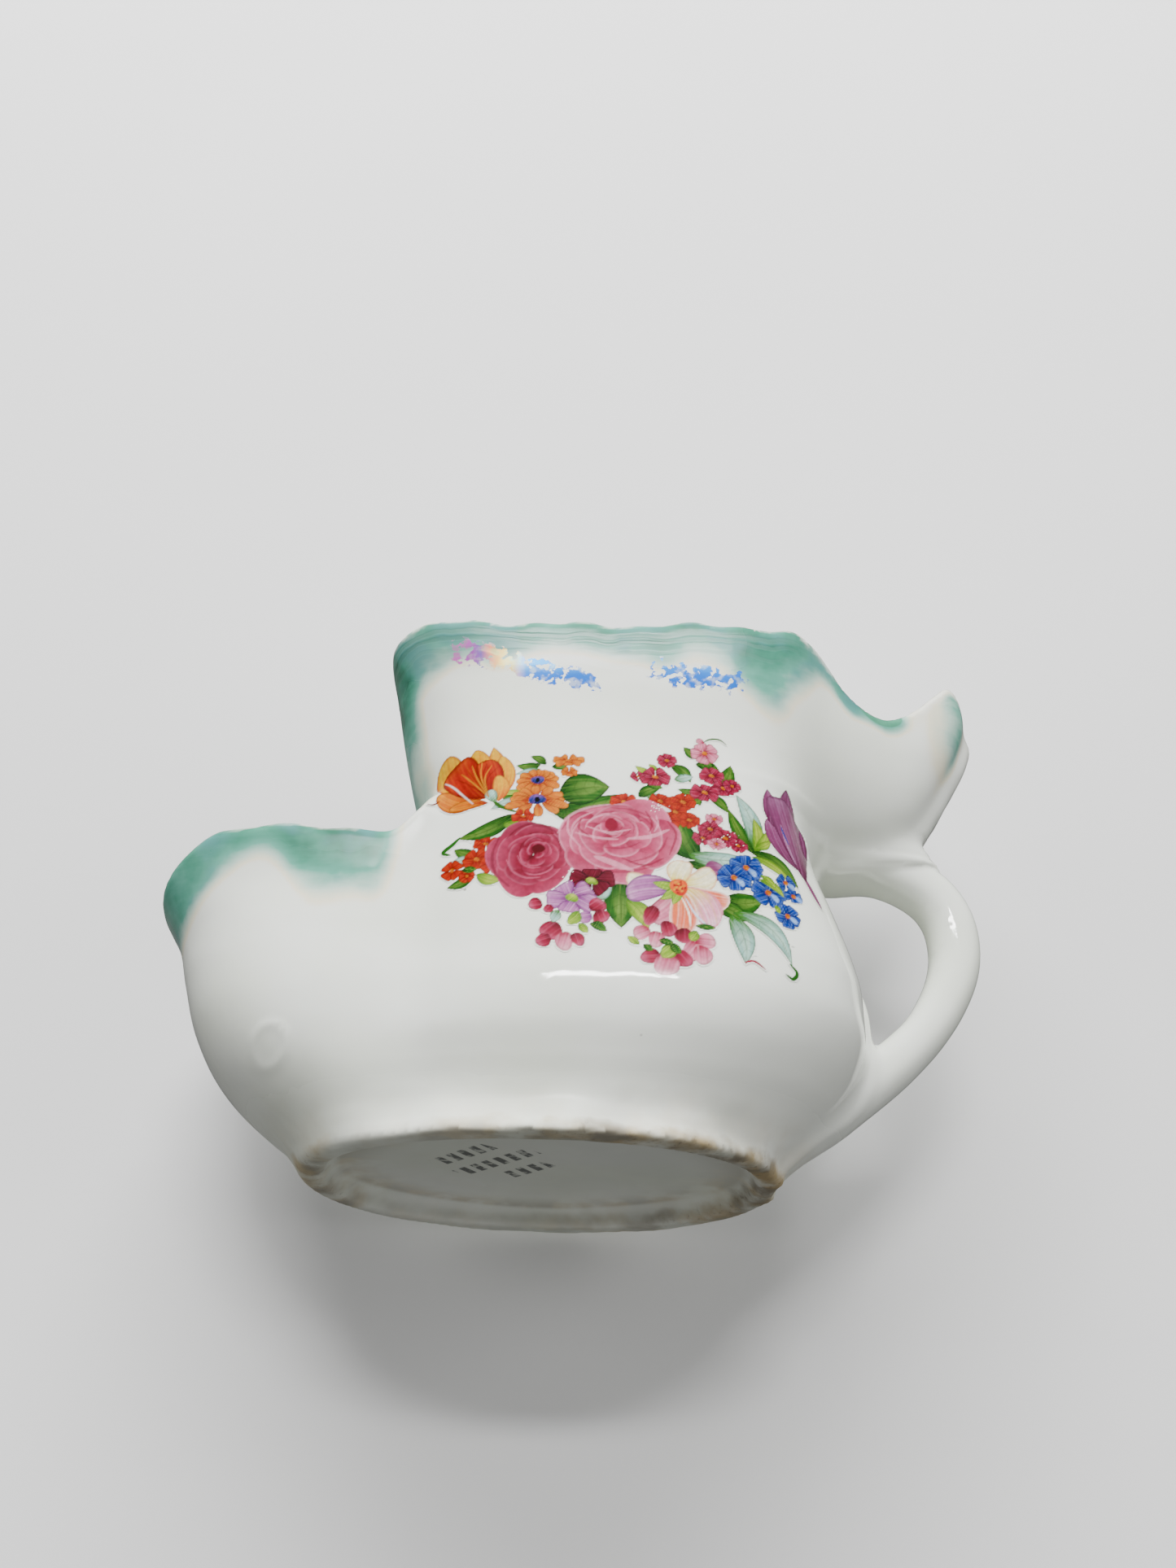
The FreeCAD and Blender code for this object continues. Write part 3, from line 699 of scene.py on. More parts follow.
# root, tip, width, inks and bend of each leaf, in print order
LEAVES = [
    ((-2, 66.5), (-6.5, 66.5), 2.0, GREEN, 0.1), ((-1, 66.5), (-4, 68.5), 1.8, GREEN, -0.1),
    ((0, 66), (3, 65.5), 1.8, GREEN, 0.1), ((-2, 65.5), (-6.5, 64.5), 1.4, PALE, 0),
    ((-3, 60.5), (-9.5, 61), 2.0, LIME, 0.1), ((-3, 59.5), (-9, 59.5), 2.0, GREEN, 0.08),
    ((-4, 58), (-10.5, 57), 2.2, PALE, -0.1), ((0.5, 55.5), (13, 60), 5.0, GREEN, -0.1),
    ((0.5, 56), (9, 55.5), 3.0, GREEN, -0.1), ((1.5, 59.5), (10.5, 61.5), 7.0, GREEN, 0.06),
    ((-6, 55.5), (-16, 51.5), 3.4, GREEN, 0.1), ((-8, 53.5), (-1.5, 53), 2.8, LIME, -0.08),
    ((-12, 47.5), (-16.5, 49.5), 2.4, GREEN, 0.1), ((-13, 46.5), (-16.5, 47), 2.0, PALE, 0),
    ((-10.5, 48), (-7, 48.5), 2.2, GREEN, 0.1), ((-12.5, 43.5), (-17, 41.5), 2.2, GREEN, 0.1),
    ((-12, 43.5), (-7.5, 42), 2.4, LIME, -0.1), ((15.5, 59.5), (19.5, 61.5), 2.4, GREEN, 0.1),
    ((17, 59.5), (21, 59), 2.0, PALE, 0), ((25.5, 46.5), (21, 57), 6.0, GREEN, 0.08),
    ((23.5, 46), (34, 47), 3.0, GREEN, -0.12), ((24, 47.5), (34.5, 48), 3.4, PALE, -0.08),
    ((36, 49), (31.5, 58), 2.8, GREEN, 0.06), ((36, 50), (33, 61.5), 3.6, PALE, -0.1),
    ((36, 49.5), (36, 57), 2.4, LIME, -0.1), ((36, 50), (38.5, 55), 2.0, LIME, -0.1),
    ((36, 50.5), (39, 53), 1.6, LIME, -0.1), ((35, 49.5), (43.5, 44), 2.8, GREEN, 0.16),
    ((35, 48.5), (42.5, 44.5), 1.8, LIME, 0.1), ((29.5, 38.5), (36.5, 40), 4.4, GREEN, -0.1),
    ((28, 37.5), (33.5, 35), 3.4, GREEN, 0.1), ((30.5, 36), (32.5, 27), 3.8, PALE, 0.12),
    ((31, 36.5), (40.5, 28), 3.4, PALE, 0.2), ((12, 42), (12.5, 32.5), 5.6, GREEN, 0.02),
    ((13.5, 38), (17, 32.5), 3.4, LIME, 0.1), ((8, 38), (11, 40.5), 2.4, PALE, 0),
    ((27, 69), (24, 71.5), 2.2, GREEN, 0.1), ((26, 67.5), (30.5, 66), 2.6, GREEN, 0.1),
    ((29, 66.5), (27.5, 69), 1.8, GREEN, 0), ((21.5, 67), (25, 63), 2.6, GREEN, 0.12),
    ((22, 63.5), (25.5, 64.5), 2.0, PALE, 0), ((29.5, 62), (32.5, 68), 3.2, GREEN, -0.1),
    ((27, 61), (22.5, 61.5), 1.8, GREEN, 0.1), ((28, 60.5), (31.5, 57), 2.2, GREEN, 0.1),
    ((25.5, 60.5), (26.5, 58), 1.8, GREEN, 0), ((18, 65), (15, 66.5), 1.5, LIME, 0.1),
    ((19, 65.5), (17.5, 67), 1.3, LIME, 0), ((17, 62.5), (20, 61.5), 1.5, GREEN, 0)]

# centre, size, inks, petals, flatness and turn of each small open flower
BLOSSOMS = [
    ((20.8, 68), 1.9, BERRY, 5, 0.9, 0.2), ((18.6, 64), 2.9, BERRY, 5, 0.7, 0.9),
    ((15.5, 64), 1.5, BERRY, 4, 0.7, 2.6), ((27.8, 70.2), 2.6, BLUSH, 5, 0.95, 0.7),
    ((28.8, 65), 2.4, BERRY, 6, 0.8, 0.2), ((30.8, 62.4), 2.2, BERRY, 5, 0.8, 1.0),
    ((27.4, 61), 2.9, BERRY, 6, 0.65, 0.4), ((32.5, 63.2), 1.7, BERRY, 5, 0.9, 0.1),
    ((13, 58.2), 2.5, SCARLET, 5, 0.75, 0.5), ((15.4, 56.8), 2.1, SCARLET, 5, 0.75, 1.3),
    ((19.4, 58.6), 2.2, SCARLET, 5, 0.75, 0.1), ((23.4, 58.6), 2.4, SCARLET, 6, 0.8, 0.8),
    ((22, 56.4), 2.2, SCARLET, 5, 0.75, 0.3), ((24.4, 54.8), 2.0, SCARLET, 5, 0.8, 1.2),
    ((20.8, 54.4), 2.2, SCARLET, 5, 0.75, 0.7), ((-10.8, 49.6), 2.3, SCARLET, 5, 0.6, 0.4),
    ((-12.2, 46.6), 2.5, SCARLET, 5, 0.85, 1.0), ((-9.4, 45.4), 2.3, SCARLET, 5, 0.8, 0.2),
    ((-16.4, 45), 1.9, SCARLET, 4, 1.1, 0.8), ((-13.6, 43.4), 1.5, SCARLET, 5, 0.9, 0.5),
    ((-4.6, 55), 2.1, SCARLET, 5, 0.6, 0.9), ((3, 67.4), 3.0, AMBER, 7, 0.42, 0.2),
    ((3.2, 64.8), 1.6, AMBER, 5, 0.7, 1.0), ((28.8, 55.4), 1.7, BLUSH, 5, 0.7, 0.3),
    ((28, 53.2), 2.3, BERRY, 6, 0.7, 1.0), ((26.6, 51.2), 1.9, BERRY, 5, 0.7, 0.2),
    ((30.6, 51.6), 2.5, BERRY, 7, 0.75, 0.6), ((32.8, 50.4), 1.8, BERRY, 6, 0.8, 0.0),
    ((29, 50.2), 1.7, BLUSH, 6, 0.7, 0.9), ((34, 46), 3.1, BLUE, 5, 0.85, 0.5),
    ((31.7, 43.6), 3.1, BLUE, 5, 0.85, 1.1), ((41, 44.6), 2.0, BLUE, 4, 0.7, 0.8),
    ((42.2, 42.2), 1.7, BLUE, 4, 0.8, 0.2), ((37.6, 41.6), 3.2, BLUE, 5, 0.85, 0.2),
    ((40.6, 37.6), 2.3, BLUE, 5, 1.1, 0.9)]

# centre, width, height, inks and turn of each bud and drooping lobe
BUDS = [
    ((-1.6, 37), 2.6, 2.4, BERRY, 3.6), ((0.6, 36), 1.8, 1.8, BERRY, 4.4),
    ((8.6, 36.8), 3.0, 2.8, BERRY, 1.0), ((9.2, 34.6), 3.0, 2.6, BERRY, 5.4),
    ((6.6, 34.4), 2.4, 2.6, LILAC, 3.6), ((1.2, 31.8), 4.0, 3.6, BERRY, 4.2),
    ((0, 30), 2.6, 2.6, BERRY, 3.8), ((3.4, 29.8), 3.0, 3.6, BLUSH, 4.7),
    ((5.6, 30.2), 2.2, 2.8, BERRY, 5.3), ((17.4, 35.2), 2.6, 4.0, CRIMSON, 4.4),
    ((15.8, 31.8), 2.8, 3.0, BLUSH, 3.9), ((18.2, 30.6), 2.8, 3.2, BLUSH, 4.7),
    ((20.2, 32.6), 2.8, 3.2, BERRY, 5.2), ((22.6, 31.4), 3.0, 3.0, CRIMSON, 5.0),
    ((24, 28.6), 3.4, 4.0, BLUSH, 4.3), ((26.2, 30.6), 3.0, 3.4, BLUSH, 0.2),
    ((25.6, 28), 3.2, 3.6, BLUSH, 5.0), ((17.2, 27.4), 2.8, 3.4, BERRY, 3.5),
    ((22.2, 27.2), 3.0, 3.8, BERRY, 5.6), ((19.7, 25.9), 4.2, 4.0, BLUSH, 4.7),
    ((27, 73), 1.4, 1.6, BLUSH, 2.9)]

# root, tip, width, inks and bend of each small green leaf at a bud
CALYXES = [
    ((21, 29.8), (19, 27.2), 2.6, LIME, 0.05), ((20.5, 30), (22, 28), 1.6, GREEN, 0),
    ((18.6, 30.4), (21, 30), 1.4, GREEN, 0), ((15.5, 29.5), (13.5, 31), 1.4, LIME, 0),
    ((16, 29.5), (17.6, 28.5), 1.4, GREEN, 0), ((24.8, 32.5), (23.8, 30.5), 1.8, LIME, 0),
    ((24.6, 33.4), (28, 33.2), 1.2, GREEN, 0), ((5.6, 35.6), (3.8, 33), 2.2, LIME, 0.1),
    ((7.4, 33.2), (10.2, 31.8), 1.8, GREEN, 0.1), ((5.6, 33.2), (7.2, 31.4), 1.6, LIME, 0),
    ((2.2, 35.8), (1.4, 33.4), 2.0, PALE, 0), ((36, 44), (40.4, 41.4), 1.6, LIME, 0.15),
    ((36.4, 45), (39, 43), 1.5, LIME, 0.1), ((38.6, 39.4), (39.2, 37.8), 1.1, LIME, 0),
    ((-14.6, 44.8), (-12, 44.6), 1.4, GREEN, 0)]


def print_spray():
    """The large spray of flowers on the front flank."""
    sheet = Sheet((-26, 20), (52, 77), 0.18)
    for seed, (root, tip, width, inks, bend) in enumerate(LEAVES):
        leaf(sheet, root, tip, width, inks, bend, seed * 1.7)
    stroke(sheet, [(-10.8, 60.2), (-9, 57.6), (-5.5, 55.8)], 0.8, STEM)
    stroke(sheet, [(-15.6, 51.8), (-16.8, 50.6), (-18.4, 49.2), (-17, 48.4)], 0.9, GREEN[1])
    stroke(sheet, [(27.6, 72.8), (29, 73.6), (30.8, 73.6), (32, 72.6)], 0.45, STEM)
    stroke(sheet, [(20.5, 66.8), (22.4, 66.4), (23.8, 64.6)], 0.4, STEM)
    stroke(sheet, [(40, 28.4), (41.2, 27), (40.4, 25.8), (39.2, 26.4)], 0.7, GREEN[1])
    tulip(sheet, (-14.6, 65.2))
    daisy(sheet, (-2.4, 63), 3.9, 2.4, 1.0)
    daisy(sheet, (-2.3, 58.6), 4.9, 3.1, 4.0)
    bead(sheet, (28.6, 44.6), 4.2, 3.6, VIOLET, 0.5)
    for centre, size, inks, petals, flat, turn in BLOSSOMS:
        blossom(sheet, centre, size, inks, petals, flat, turn)
    for centre, size, inks, *_ in BLOSSOMS:
        if inks is BLUE:
            petal(sheet, centre, (centre[0] + 1.6, centre[1] - size * 0.5), 1.2, SKY, 0.1)
            bead(sheet, centre, 0.9, 0.9, AMBER)
    stroke(sheet, [(15.4, 57.2), (18, 57.6), (21, 56.6)], 1.3, PAPER)
    rose(sheet, (-3, 46.4), (-1.6, 48.2), 14.5, 15.5, CRIMSON, 3)
    rose(sheet, (12.2, 49.6), (10.8, 53.4), 22.5, 15.0, ROSE, 8)
    for fold, width in (
            (((8, 46.6), (10.5, 45.6), (14.5, 43.9)), 1.1), (((13.6, 50.4), (17.5, 51), (20.8, 52.6)), 0.8),
            (((4.6, 51.4), (8.6, 50.4), (12, 50.2)), 0.5), (((3.4, 55), (3.4, 51.6), (5.6, 48.4)), 0.45),
            (((18.6, 55.6), (18.9, 53.6), (18.2, 52)), 0.4),
            (((6.4, 52.8), (10.4, 51.6), (14.2, 52.4)), 0.4)):
        stroke(sheet, fold, width, ROSE[3], 0.6)
    for fold in (((16.8, 56.4), (17.9, 54), (17.4, 52)), ((20.6, 54.4), (22, 51.6), (20.8, 47.4)),
                 ((5.6, 54.6), (5.2, 52.4), (7, 50.8)), ((12.6, 46.4), (16.4, 45), (19.8, 46.6))):
        stroke(sheet, fold, 0.45, ROSE[0], 0.7)
    blossom(sheet, (7.6, 41.6), 4.0, WINE, 5, 0.62, 0.3, LIME, 0.26)
    blossom(sheet, (4.4, 38.2), 4.3, LILAC, 5, 0.7, 0.8, LIME, 0.26)
    lily(sheet, (22.2, 40.9))
    for centre, wide, tall, inks, turn in BUDS:
        bead(sheet, centre, wide, tall, inks, turn, centre[0])
    for root, tip, width, inks, bend in CALYXES:
        petal(sheet, root, tip, width, inks, bend, 0.5, root[0])
    ribbon_tulip(sheet, (45.2, 46.4))
    stroke(sheet, [(32.4, 27.4), (34, 27.8), (35.8, 26.6)], 0.5, BLUSH[0])
    sheet.wear((18.6, 57.4), 1.6, 0.3, 1.0)
    sheet.wear((31.6, 51), 2.6, 0.1, 6.0)
    sheet.wear((3.2, 42.8), 1.8, 0.1, 3.0)
    return sheet


def print_sprig():
    """The smaller sprig on the far flank."""
    sheet = Sheet((-14, 36), (22, 66), 0.2)
    for seed, (root, tip, width, inks, bend) in enumerate((
            ((0, 50), (-9, 56), 4.0, GREEN, 0.1), ((0, 50), (-10, 46), 3.6, GREEN, -0.1),
            ((6, 50), (15, 57), 4.2, GREEN, -0.1), ((6, 49), (17, 46), 3.8, PALE, 0.12),
            ((3, 54), (4, 63), 3.6, GREEN, 0.08), ((4, 46), (7, 38), 3.2, LIME, 0.1))):
        leaf(sheet, root, tip, width, inks, bend, seed * 1.3)
    for centre, size, inks, petals, turn in (
            ((-5.5, 52), 2.6, BLUE, 5, 0.3), ((-4.5, 47.5), 2.4, BLUE, 5, 1.0),
            ((11, 53), 2.6, SCARLET, 5, 0.5), ((12, 48.5), 2.4, AMBER, 7, 0.2),
            ((1.5, 57), 2.3, BERRY, 5, 0.4), ((7.5, 43), 2.4, LILAC, 5, 0.8)):
        blossom(sheet, centre, size, inks, petals, 0.9, turn)
    rose(sheet, (3.5, 50), (3.2, 51.5), 11.5, 10.0, ROSE, 5)
    return sheet


def transfer_mesh(sheet, side):
    """Lift a printed sheet onto the flank: side is -1 for the front, 1 for the back."""
    used = sheet.cover > 0.02
    faces = used[1:, 1:] | used[:-1, 1:] | used[1:, :-1] | used[:-1, :-1]
    number = np.arange(used.size).reshape(used.shape)
    ring = [number[:-1, :-1], number[1:, :-1], number[1:, 1:], number[:-1, 1:]]
    quads = np.stack([corner[faces] for corner in ring], axis=1)
    kept, quads = np.unique(quads, return_inverse=True)
    x, z = sheet.across.ravel()[kept], sheet.up.ravel()[kept]
    x = x if side < 0 else -x + 2 * sheet.across.mean()
    y = side * curve(z, MAIN_HALF)
    for _ in range(7):
        here = mug(x, y, z) - INK_LIFT
        slope = (mug(x, y + 0.05, z) - here - INK_LIFT) / 0.05
        y = y - np.clip(here / (np.sign(slope) * np.maximum(np.abs(slope), 0.25)), -1.5, 1.5)
    points = np.stack([x, y, z], axis=1)
    return points, quads.reshape(-1, 4), sheet.ink.reshape(-1, 3)[kept], sheet.cover.ravel()[kept]


# ---- materials ----

SADDLE_X, SADDLE_Z = 66.1, 91.9  # middle of the dark crescent beside the lip
MARK_CENTRE = (FOOT_X - 7.8, -4.0, 0.0)
CLEAR_DEPTH = 40.0  # "below" where the rim no longer matters


class Value:
    """What a node gives out; arithmetic on it adds the node that does the sum."""

    def __init__(self, graph, socket):
        self.graph, self.socket = graph, socket

    def other(self, name):
        """Another output of the same node."""
        return Value(self.graph, self.socket.node.outputs[name])

    def __add__(self, term):
        return self.graph.math("ADD", self, term)

    def __sub__(self, term):
        return self.graph.math("SUBTRACT", self, term)

    def __rsub__(self, term):
        return self.graph.math("SUBTRACT", term, self)

    def __mul__(self, term):
        return self.graph.math("MULTIPLY", self, term)

    def __truediv__(self, term):
        return self.graph.math("DIVIDE", self, term)

    def __pow__(self, term):
        return self.graph.math("POWER", self, term)

    def __abs__(self):
        return self.graph.math("ABSOLUTE", self)

    def most(self, *others):
        """The largest of this value and the others."""
        largest = self
        for other in others:
            largest = self.graph.math("MAXIMUM", largest, other)
        return largest

    def span(self, low, high, first=0.0, last=1.0):
        """Maps low..high to first..last, smoothly."""
        inputs = {"Value": self, "From Min": low, "From Max": high, "To Min": first, "To Max": last}
        return self.graph.node("MapRange", inputs, interpolation_type="SMOOTHSTEP")


class Graph:
    """The nodes of a material or a world, built call by call."""

    def __init__(self, owner, shader="Principled BSDF"):
        owner.use_nodes = True
        self.owner, self.tree = owner, owner.node_tree
        self.shader = self.tree.nodes[shader]

    @cached_property
    def place(self):
        """Where a point is in the frame, in millimetres."""
        metres = self.node("TexCoord", out="Object")
        return self.node("VectorMath", {0: metres, "Scale": 1 / MM}, operation="SCALE")

    def plug(self, value, socket):
        """Link a value to a socket, or set the socket to a number or colour."""
        if isinstance(value, Value):
            self.tree.links.new(value.socket, socket)
        else:
            socket.default_value = value

    def node(self, kind, inputs=None, out=0, **settings):
        """Add a node and give one of its outputs."""
        node = self.tree.nodes.new("ShaderNode" + kind)
        for name, value in settings.items():
            setattr(node, name, value)
        for name, value in (inputs or {}).items():
            self.plug(value, node.inputs[name])
        return Value(self, node.outputs[out])

    def math(self, operation, *terms):
        """One sum of numbers."""
        return self.node("Math", dict(enumerate(terms)), operation=operation)

    def mix(self, amount, first, second):
        """Two colours mixed by amount."""
        first, second = [c if isinstance(c, Value) else (*c, 1.0) for c in (first, second)]
        return self.node("Mix", {"Factor": amount, 6: first, 7: second}, out=2, data_type="RGBA")

    def noise(self, size, detail=3.0, stretch=(1, 1, 1)):
        """Smooth noise whose blotches are about size millimetres across."""
        place = self.node("Mapping", {"Vector": self.place, "Scale": [s / size for s in stretch]})
        return self.node("TexNoise", {"Vector": place, "Scale": 1.0, "Detail": detail}, out="Fac")

    def attribute(self, name, out="Fac"):
        """A value stored on the mesh's points."""
        return self.node("Attribute", out=out, attribute_name=name)

    def split(self, vector):
        """A vector's three numbers."""
        x = self.node("SeparateXYZ", {0: vector})
        return x, x.other("Y"), x.other("Z")

    def from_foot(self):
        """The place in millimetres from the foot's centre."""
        x, y, z = self.split(self.place)
        return x - FOOT_X, y, z

    def ramp(self, value, stops):
        """A colour ramp through (place, colour) stops."""
        colour = self.node("ValToRGB", {"Fac": value}, out="Color")
        elements = colour.socket.node.color_ramp.elements
        elements[0].position, elements[1].position = stops[0][0], stops[-1][0]
        for place, _ in stops[1:-1]:
            elements.new(place)
        for element, (_, tone) in zip(elements, stops):
            element.color = (*tone, 1.0)
        return colour

    def feed(self, **inputs):
        """Give the shader its inputs, named with _ for a space."""
        for name, value in inputs.items():
            self.plug(value, self.shader.inputs[name.replace("_", " ")])

    def bump(self, height, strength):
        """Small dents and waves in the gloss."""
        self.feed(Normal=self.node("Bump", {"Height": height, "Strength": strength, "Distance": 0.25 * MM}))


def white_glaze(graph):
    """The plain glaze: nearly white, a little greyer and warmer in soft patches."""
    white = graph.mix(graph.noise(30.0).span(0.35, 0.65), (0.765, 0.80, 0.71), (0.795, 0.82, 0.76))
    return graph.mix(graph.noise(5.0, 2.0).span(0.60, 0.80, 0.0, 0.12), white, (0.70, 0.715, 0.68))


def dark_specks(graph, colour):
    """Sparse iron specks in the glaze."""
    place = graph.node("VectorMath", {0: graph.place, "Scale": 0.11}, operation="SCALE")
    off = graph.node("TexVoronoi", {"Vector": place, "Scale": 1.0}, out="Distance")
    chosen = graph.node("SeparateColor", {"Color": off.other("Color")}).span(0.70, 0.72)
    return graph.mix(off.span(0.018, 0.045, 1.0, 0.0) * (chosen * 0.65), colour, (0.12, 0.10, 0.08))


def foot_soil(graph):
    """Where dirt has settled: round the foot ring, mostly at its ends, and in the corner of its hollow."""
    x, y, z = graph.from_foot()
    waver = graph.noise(7.0) * 5.0 + (z - 2.5)
    ring = waver.span(0.6, 3.6, 1.0, 0.0).most(waver.span(1.5, 10.0, 0.35, 0.0))
    ends = (y * -0.5 + x).span(-30.0, 45.0, 0.25, 0.9).most(x.span(-38.0, -28.0, 0.75, 0.0))
    reach = (x / RECESS_LONG) ** 2.0 + (y / (RECESS_WIDE - 1.0)) ** 2.0
    in_hollow = reach.span(0.86, 0.94, 1.0, 0.0) * z.span(3.8, 5.0, 1.0, 0.0)
    corner = reach.span(0.45, 0.95, 0.06, 0.5)
    return graph.node("Mix", {"Factor": in_hollow, 2: ring * ends, 3: corner}, data_type="FLOAT")


def foot_mark(graph):
    """A printed mark of broken bars, with no lettering, in the hollow of the foot."""
    centred = graph.node("VectorMath", {0: graph.place, 1: MARK_CENTRE}, operation="SUBTRACT")
    turned = graph.node("Mapping", {"Vector": centred, "Rotation": (0.0, 0.0, math.radians(49))})
    along, across, height = graph.split(turned)
    gaps = abs(graph.math("SINE", across * 0.35 + along * 0.98))
    bars = [abs(across - middle).span(1.7, 2.1, 1.0, 0.0) * abs(along).span(half - 0.3, half, 1.0, 0.0)
            for middle, half in ((-7.0, 7.5), (0.0, 10.5), (7.0, 6.0))]
    inked = bars[0].most(*bars[1:]) * gaps.span(0.62, 0.72) * graph.noise(1.4).span(0.40, 0.48, 0.35, 1.0)
    return inked * height.span(4.2, 4.6, 0.85, 0.0)


def sprayed_lustre(graph, amount, colour):
    """Green lustre over the glaze: ochre where it is thin, bluer in patches."""
    sprayed = graph.ramp(amount, [
        (0.0, (0.79, 0.79, 0.74)), (0.12, (0.77, 0.74, 0.58)), (0.30, (0.45, 0.60, 0.52)),
        (0.55, (0.115, 0.36, 0.275)), (0.8, (0.055, 0.25, 0.17)), (1.0, (0.025, 0.14, 0.085))])
    bluer = graph.noise(9.0, 2.0).span(0.48, 0.66) * amount.span(0.25, 0.6, 0.0, 0.6)
    sprayed = graph.mix(bluer, sprayed, (0.09, 0.27, 0.28))
    return graph.mix(amount.span(0.015, 0.12), colour, sprayed)


def rim_grooves(graph, amount, below, x):
    """Three thin lines that follow the rim at a wavering depth."""
    waver = graph.noise(9.0, 3.0) * 3.4 + below
    lines = [abs(waver - depth).span(half, half * 2.4, strength, 0.0)
             for depth, half, strength in ((5.0, 0.32, 0.7), (6.4, 0.22, 0.5), (8.6, 0.25, 0.3))]
    return lines[0].most(*lines[1:]) * (amount.span(0.12, 0.5) * x.span(40.0, 50.0, 1.0, 0.2))


def painted_gleam_colours(graph, x):
    """Painted reflection colours of the rim's highlight flakes, from violet by orange to blue along the mug;
    the flakes' thin film adds only a faint real shimmer.
    """
    shift = (graph.noise(5.0) * 5.0 + x).span(-21.0, 6.0)
    return graph.ramp(shift, [
        (0.0, (0.70, 0.16, 0.52)), (0.14, (0.32, 0.05, 0.45)), (0.24, (0.03, 0.05, 0.52)),
        (0.34, (0.80, 0.12, 0.18)), (0.44, (0.92, 0.36, 0.015)), (0.60, (0.92, 0.52, 0.06)),
        (0.70, (0.50, 0.32, 0.65)), (0.78, (0.04, 0.17, 0.75)), (1.0, (0.01, 0.13, 0.65))])


def porcelain_material():
    """Glazed porcelain: sprayed lustre, a worn rim and the zone of painted highlight flakes come from the
    mesh's values, and the foot is stained.
    """
    graph = Graph(bpy.data.materials.new("porcelain"))
    lustre, wear, painted_gleam_zone, below = [graph.attribute(name) for name in ("lustre", "wear", "painted_gleam_zone", "below")]
    x, _, z = graph.from_foot()
    colour = dark_specks(graph, white_glaze(graph))

    cloud = graph.noise(11.0, 4.0).span(0.3, 0.7, 0.72, 1.22)
    brushed = graph.noise(2.2, 3.0, (0.22, 0.22, 1.0)).span(0.3, 0.7, 0.92, 1.08)
    amount = lustre * cloud * brushed
    colour = sprayed_lustre(graph, amount, colour)
    groove = rim_grooves(graph, amount, below, x)
    colour = graph.mix(groove, colour, (0.10, 0.27, 0.21))
    off_saddle = ((x - SADDLE_X) / 4.9) ** 2.0 + ((z - SADDLE_Z) / 3.5) ** 2.0
    crescent = off_saddle.span(0.90, 1.05, 0.97, 0.0)
    deep_green = graph.mix(graph.noise(2.0), (0.03, 0.17, 0.095), (0.10, 0.33, 0.22))
    colour = graph.mix(crescent, colour, deep_green)

    # Painted highlight: flakes of violet, orange and blue reflection colour are painted into the base colour
    # where the key lamp's highlight falls on the front rim; the same flakes also carry a thin film.
    painted_gleam_and_film = painted_gleam_zone * 0.22 + (graph.noise(1.5, 4.0) + graph.noise(5.0) * 0.5)
    painted_gleam_and_film = (painted_gleam_and_film + x.span(-12.0, -5.0, 0.10, 0.0)).span(0.89, 0.92) * painted_gleam_zone.span(0.05, 0.3)
    shimmer = graph.noise(2.2, 3.0).span(0.36, 0.52, 0.45, 1.0)
    colour = graph.mix(painted_gleam_and_film * shimmer, colour, painted_gleam_colours(graph, x))
    film = (graph.noise(7.0) * 8.0 + x).span(-16.0, 2.0, 262.0, 172.0)
    film = graph.noise(3.0) * 40.0 + (film - 20.0)

    worn = wear * graph.noise(2.6, 4.0).span(0.36, 0.56, 0.25, 1.0) * (1.0 - crescent)
    colour = graph.mix(worn, colour, (0.80, 0.80, 0.73))

    soil = foot_soil(graph)
    grime = soil * graph.noise(8.0, 4.0).span(0.32, 0.58, 0.25, 1.0)
    ochre = graph.mix(graph.noise(9.0).span(0.42, 0.6), (0.36, 0.26, 0.11), (0.19, 0.15, 0.095))
    colour = graph.mix(grime, colour, ochre)
    fine_grime = soil.span(0.4, 0.95) * graph.noise(1.1, 4.0).span(0.56, 0.70, 0.0, 0.5)
    colour = graph.mix(fine_grime, colour, (0.16, 0.12, 0.08))
    colour = graph.mix(foot_mark(graph), colour, (0.035, 0.038, 0.045))

    by_lip = below.span(17.0, 9.0) * x.span(34.0, 50.0, 1.0, 0.0)
    by_neck = x.span(-26.0, -18.0, 1.0, 0.0) * z.span(44.0, 50.0)
    matt = by_lip.most(by_neck, z.span(9.0, 14.0, 1.0, 0.0))
    rough = grime * 0.45 + (worn * 0.15 + graph.noise(18.0).span(0.3, 0.7, 0.05, 0.08))
    graph.feed(Base_Color=colour, Roughness=matt * 0.22 + rough, IOR=1.55, Thin_Film_IOR=2.0)
    graph.feed(Thin_Film_Thickness=film * painted_gleam_and_film)
    graph.bump(graph.noise(7.0, 2.0) * 0.5 - groove * 0.25, 0.85)
    return graph.owner


def transfer_material():
    """Enamel flowers fired onto the glaze, which shows where there is no ink."""
    graph = Graph(bpy.data.materials.new("transfer"))
    mottle = graph.noise(0.8, 3.0).span(0.3, 0.7, 0.72, 0.88)
    inks = graph.attribute("ink", "Color")
    printed = graph.node("VectorMath", {0: inks, "Scale": mottle}, operation="SCALE")
    cover = graph.attribute("cover")
    rough = cover * 0.10 + graph.noise(18.0).span(0.3, 0.7, 0.07, 0.13)
    graph.feed(Base_Color=graph.mix(cover, white_glaze(graph), printed), Roughness=rough, IOR=1.55)
    graph.bump(graph.noise(7.0, 2.0) * 0.5, 0.55)
    return graph.owner


# ---- what the glaze needs to know at each point ----

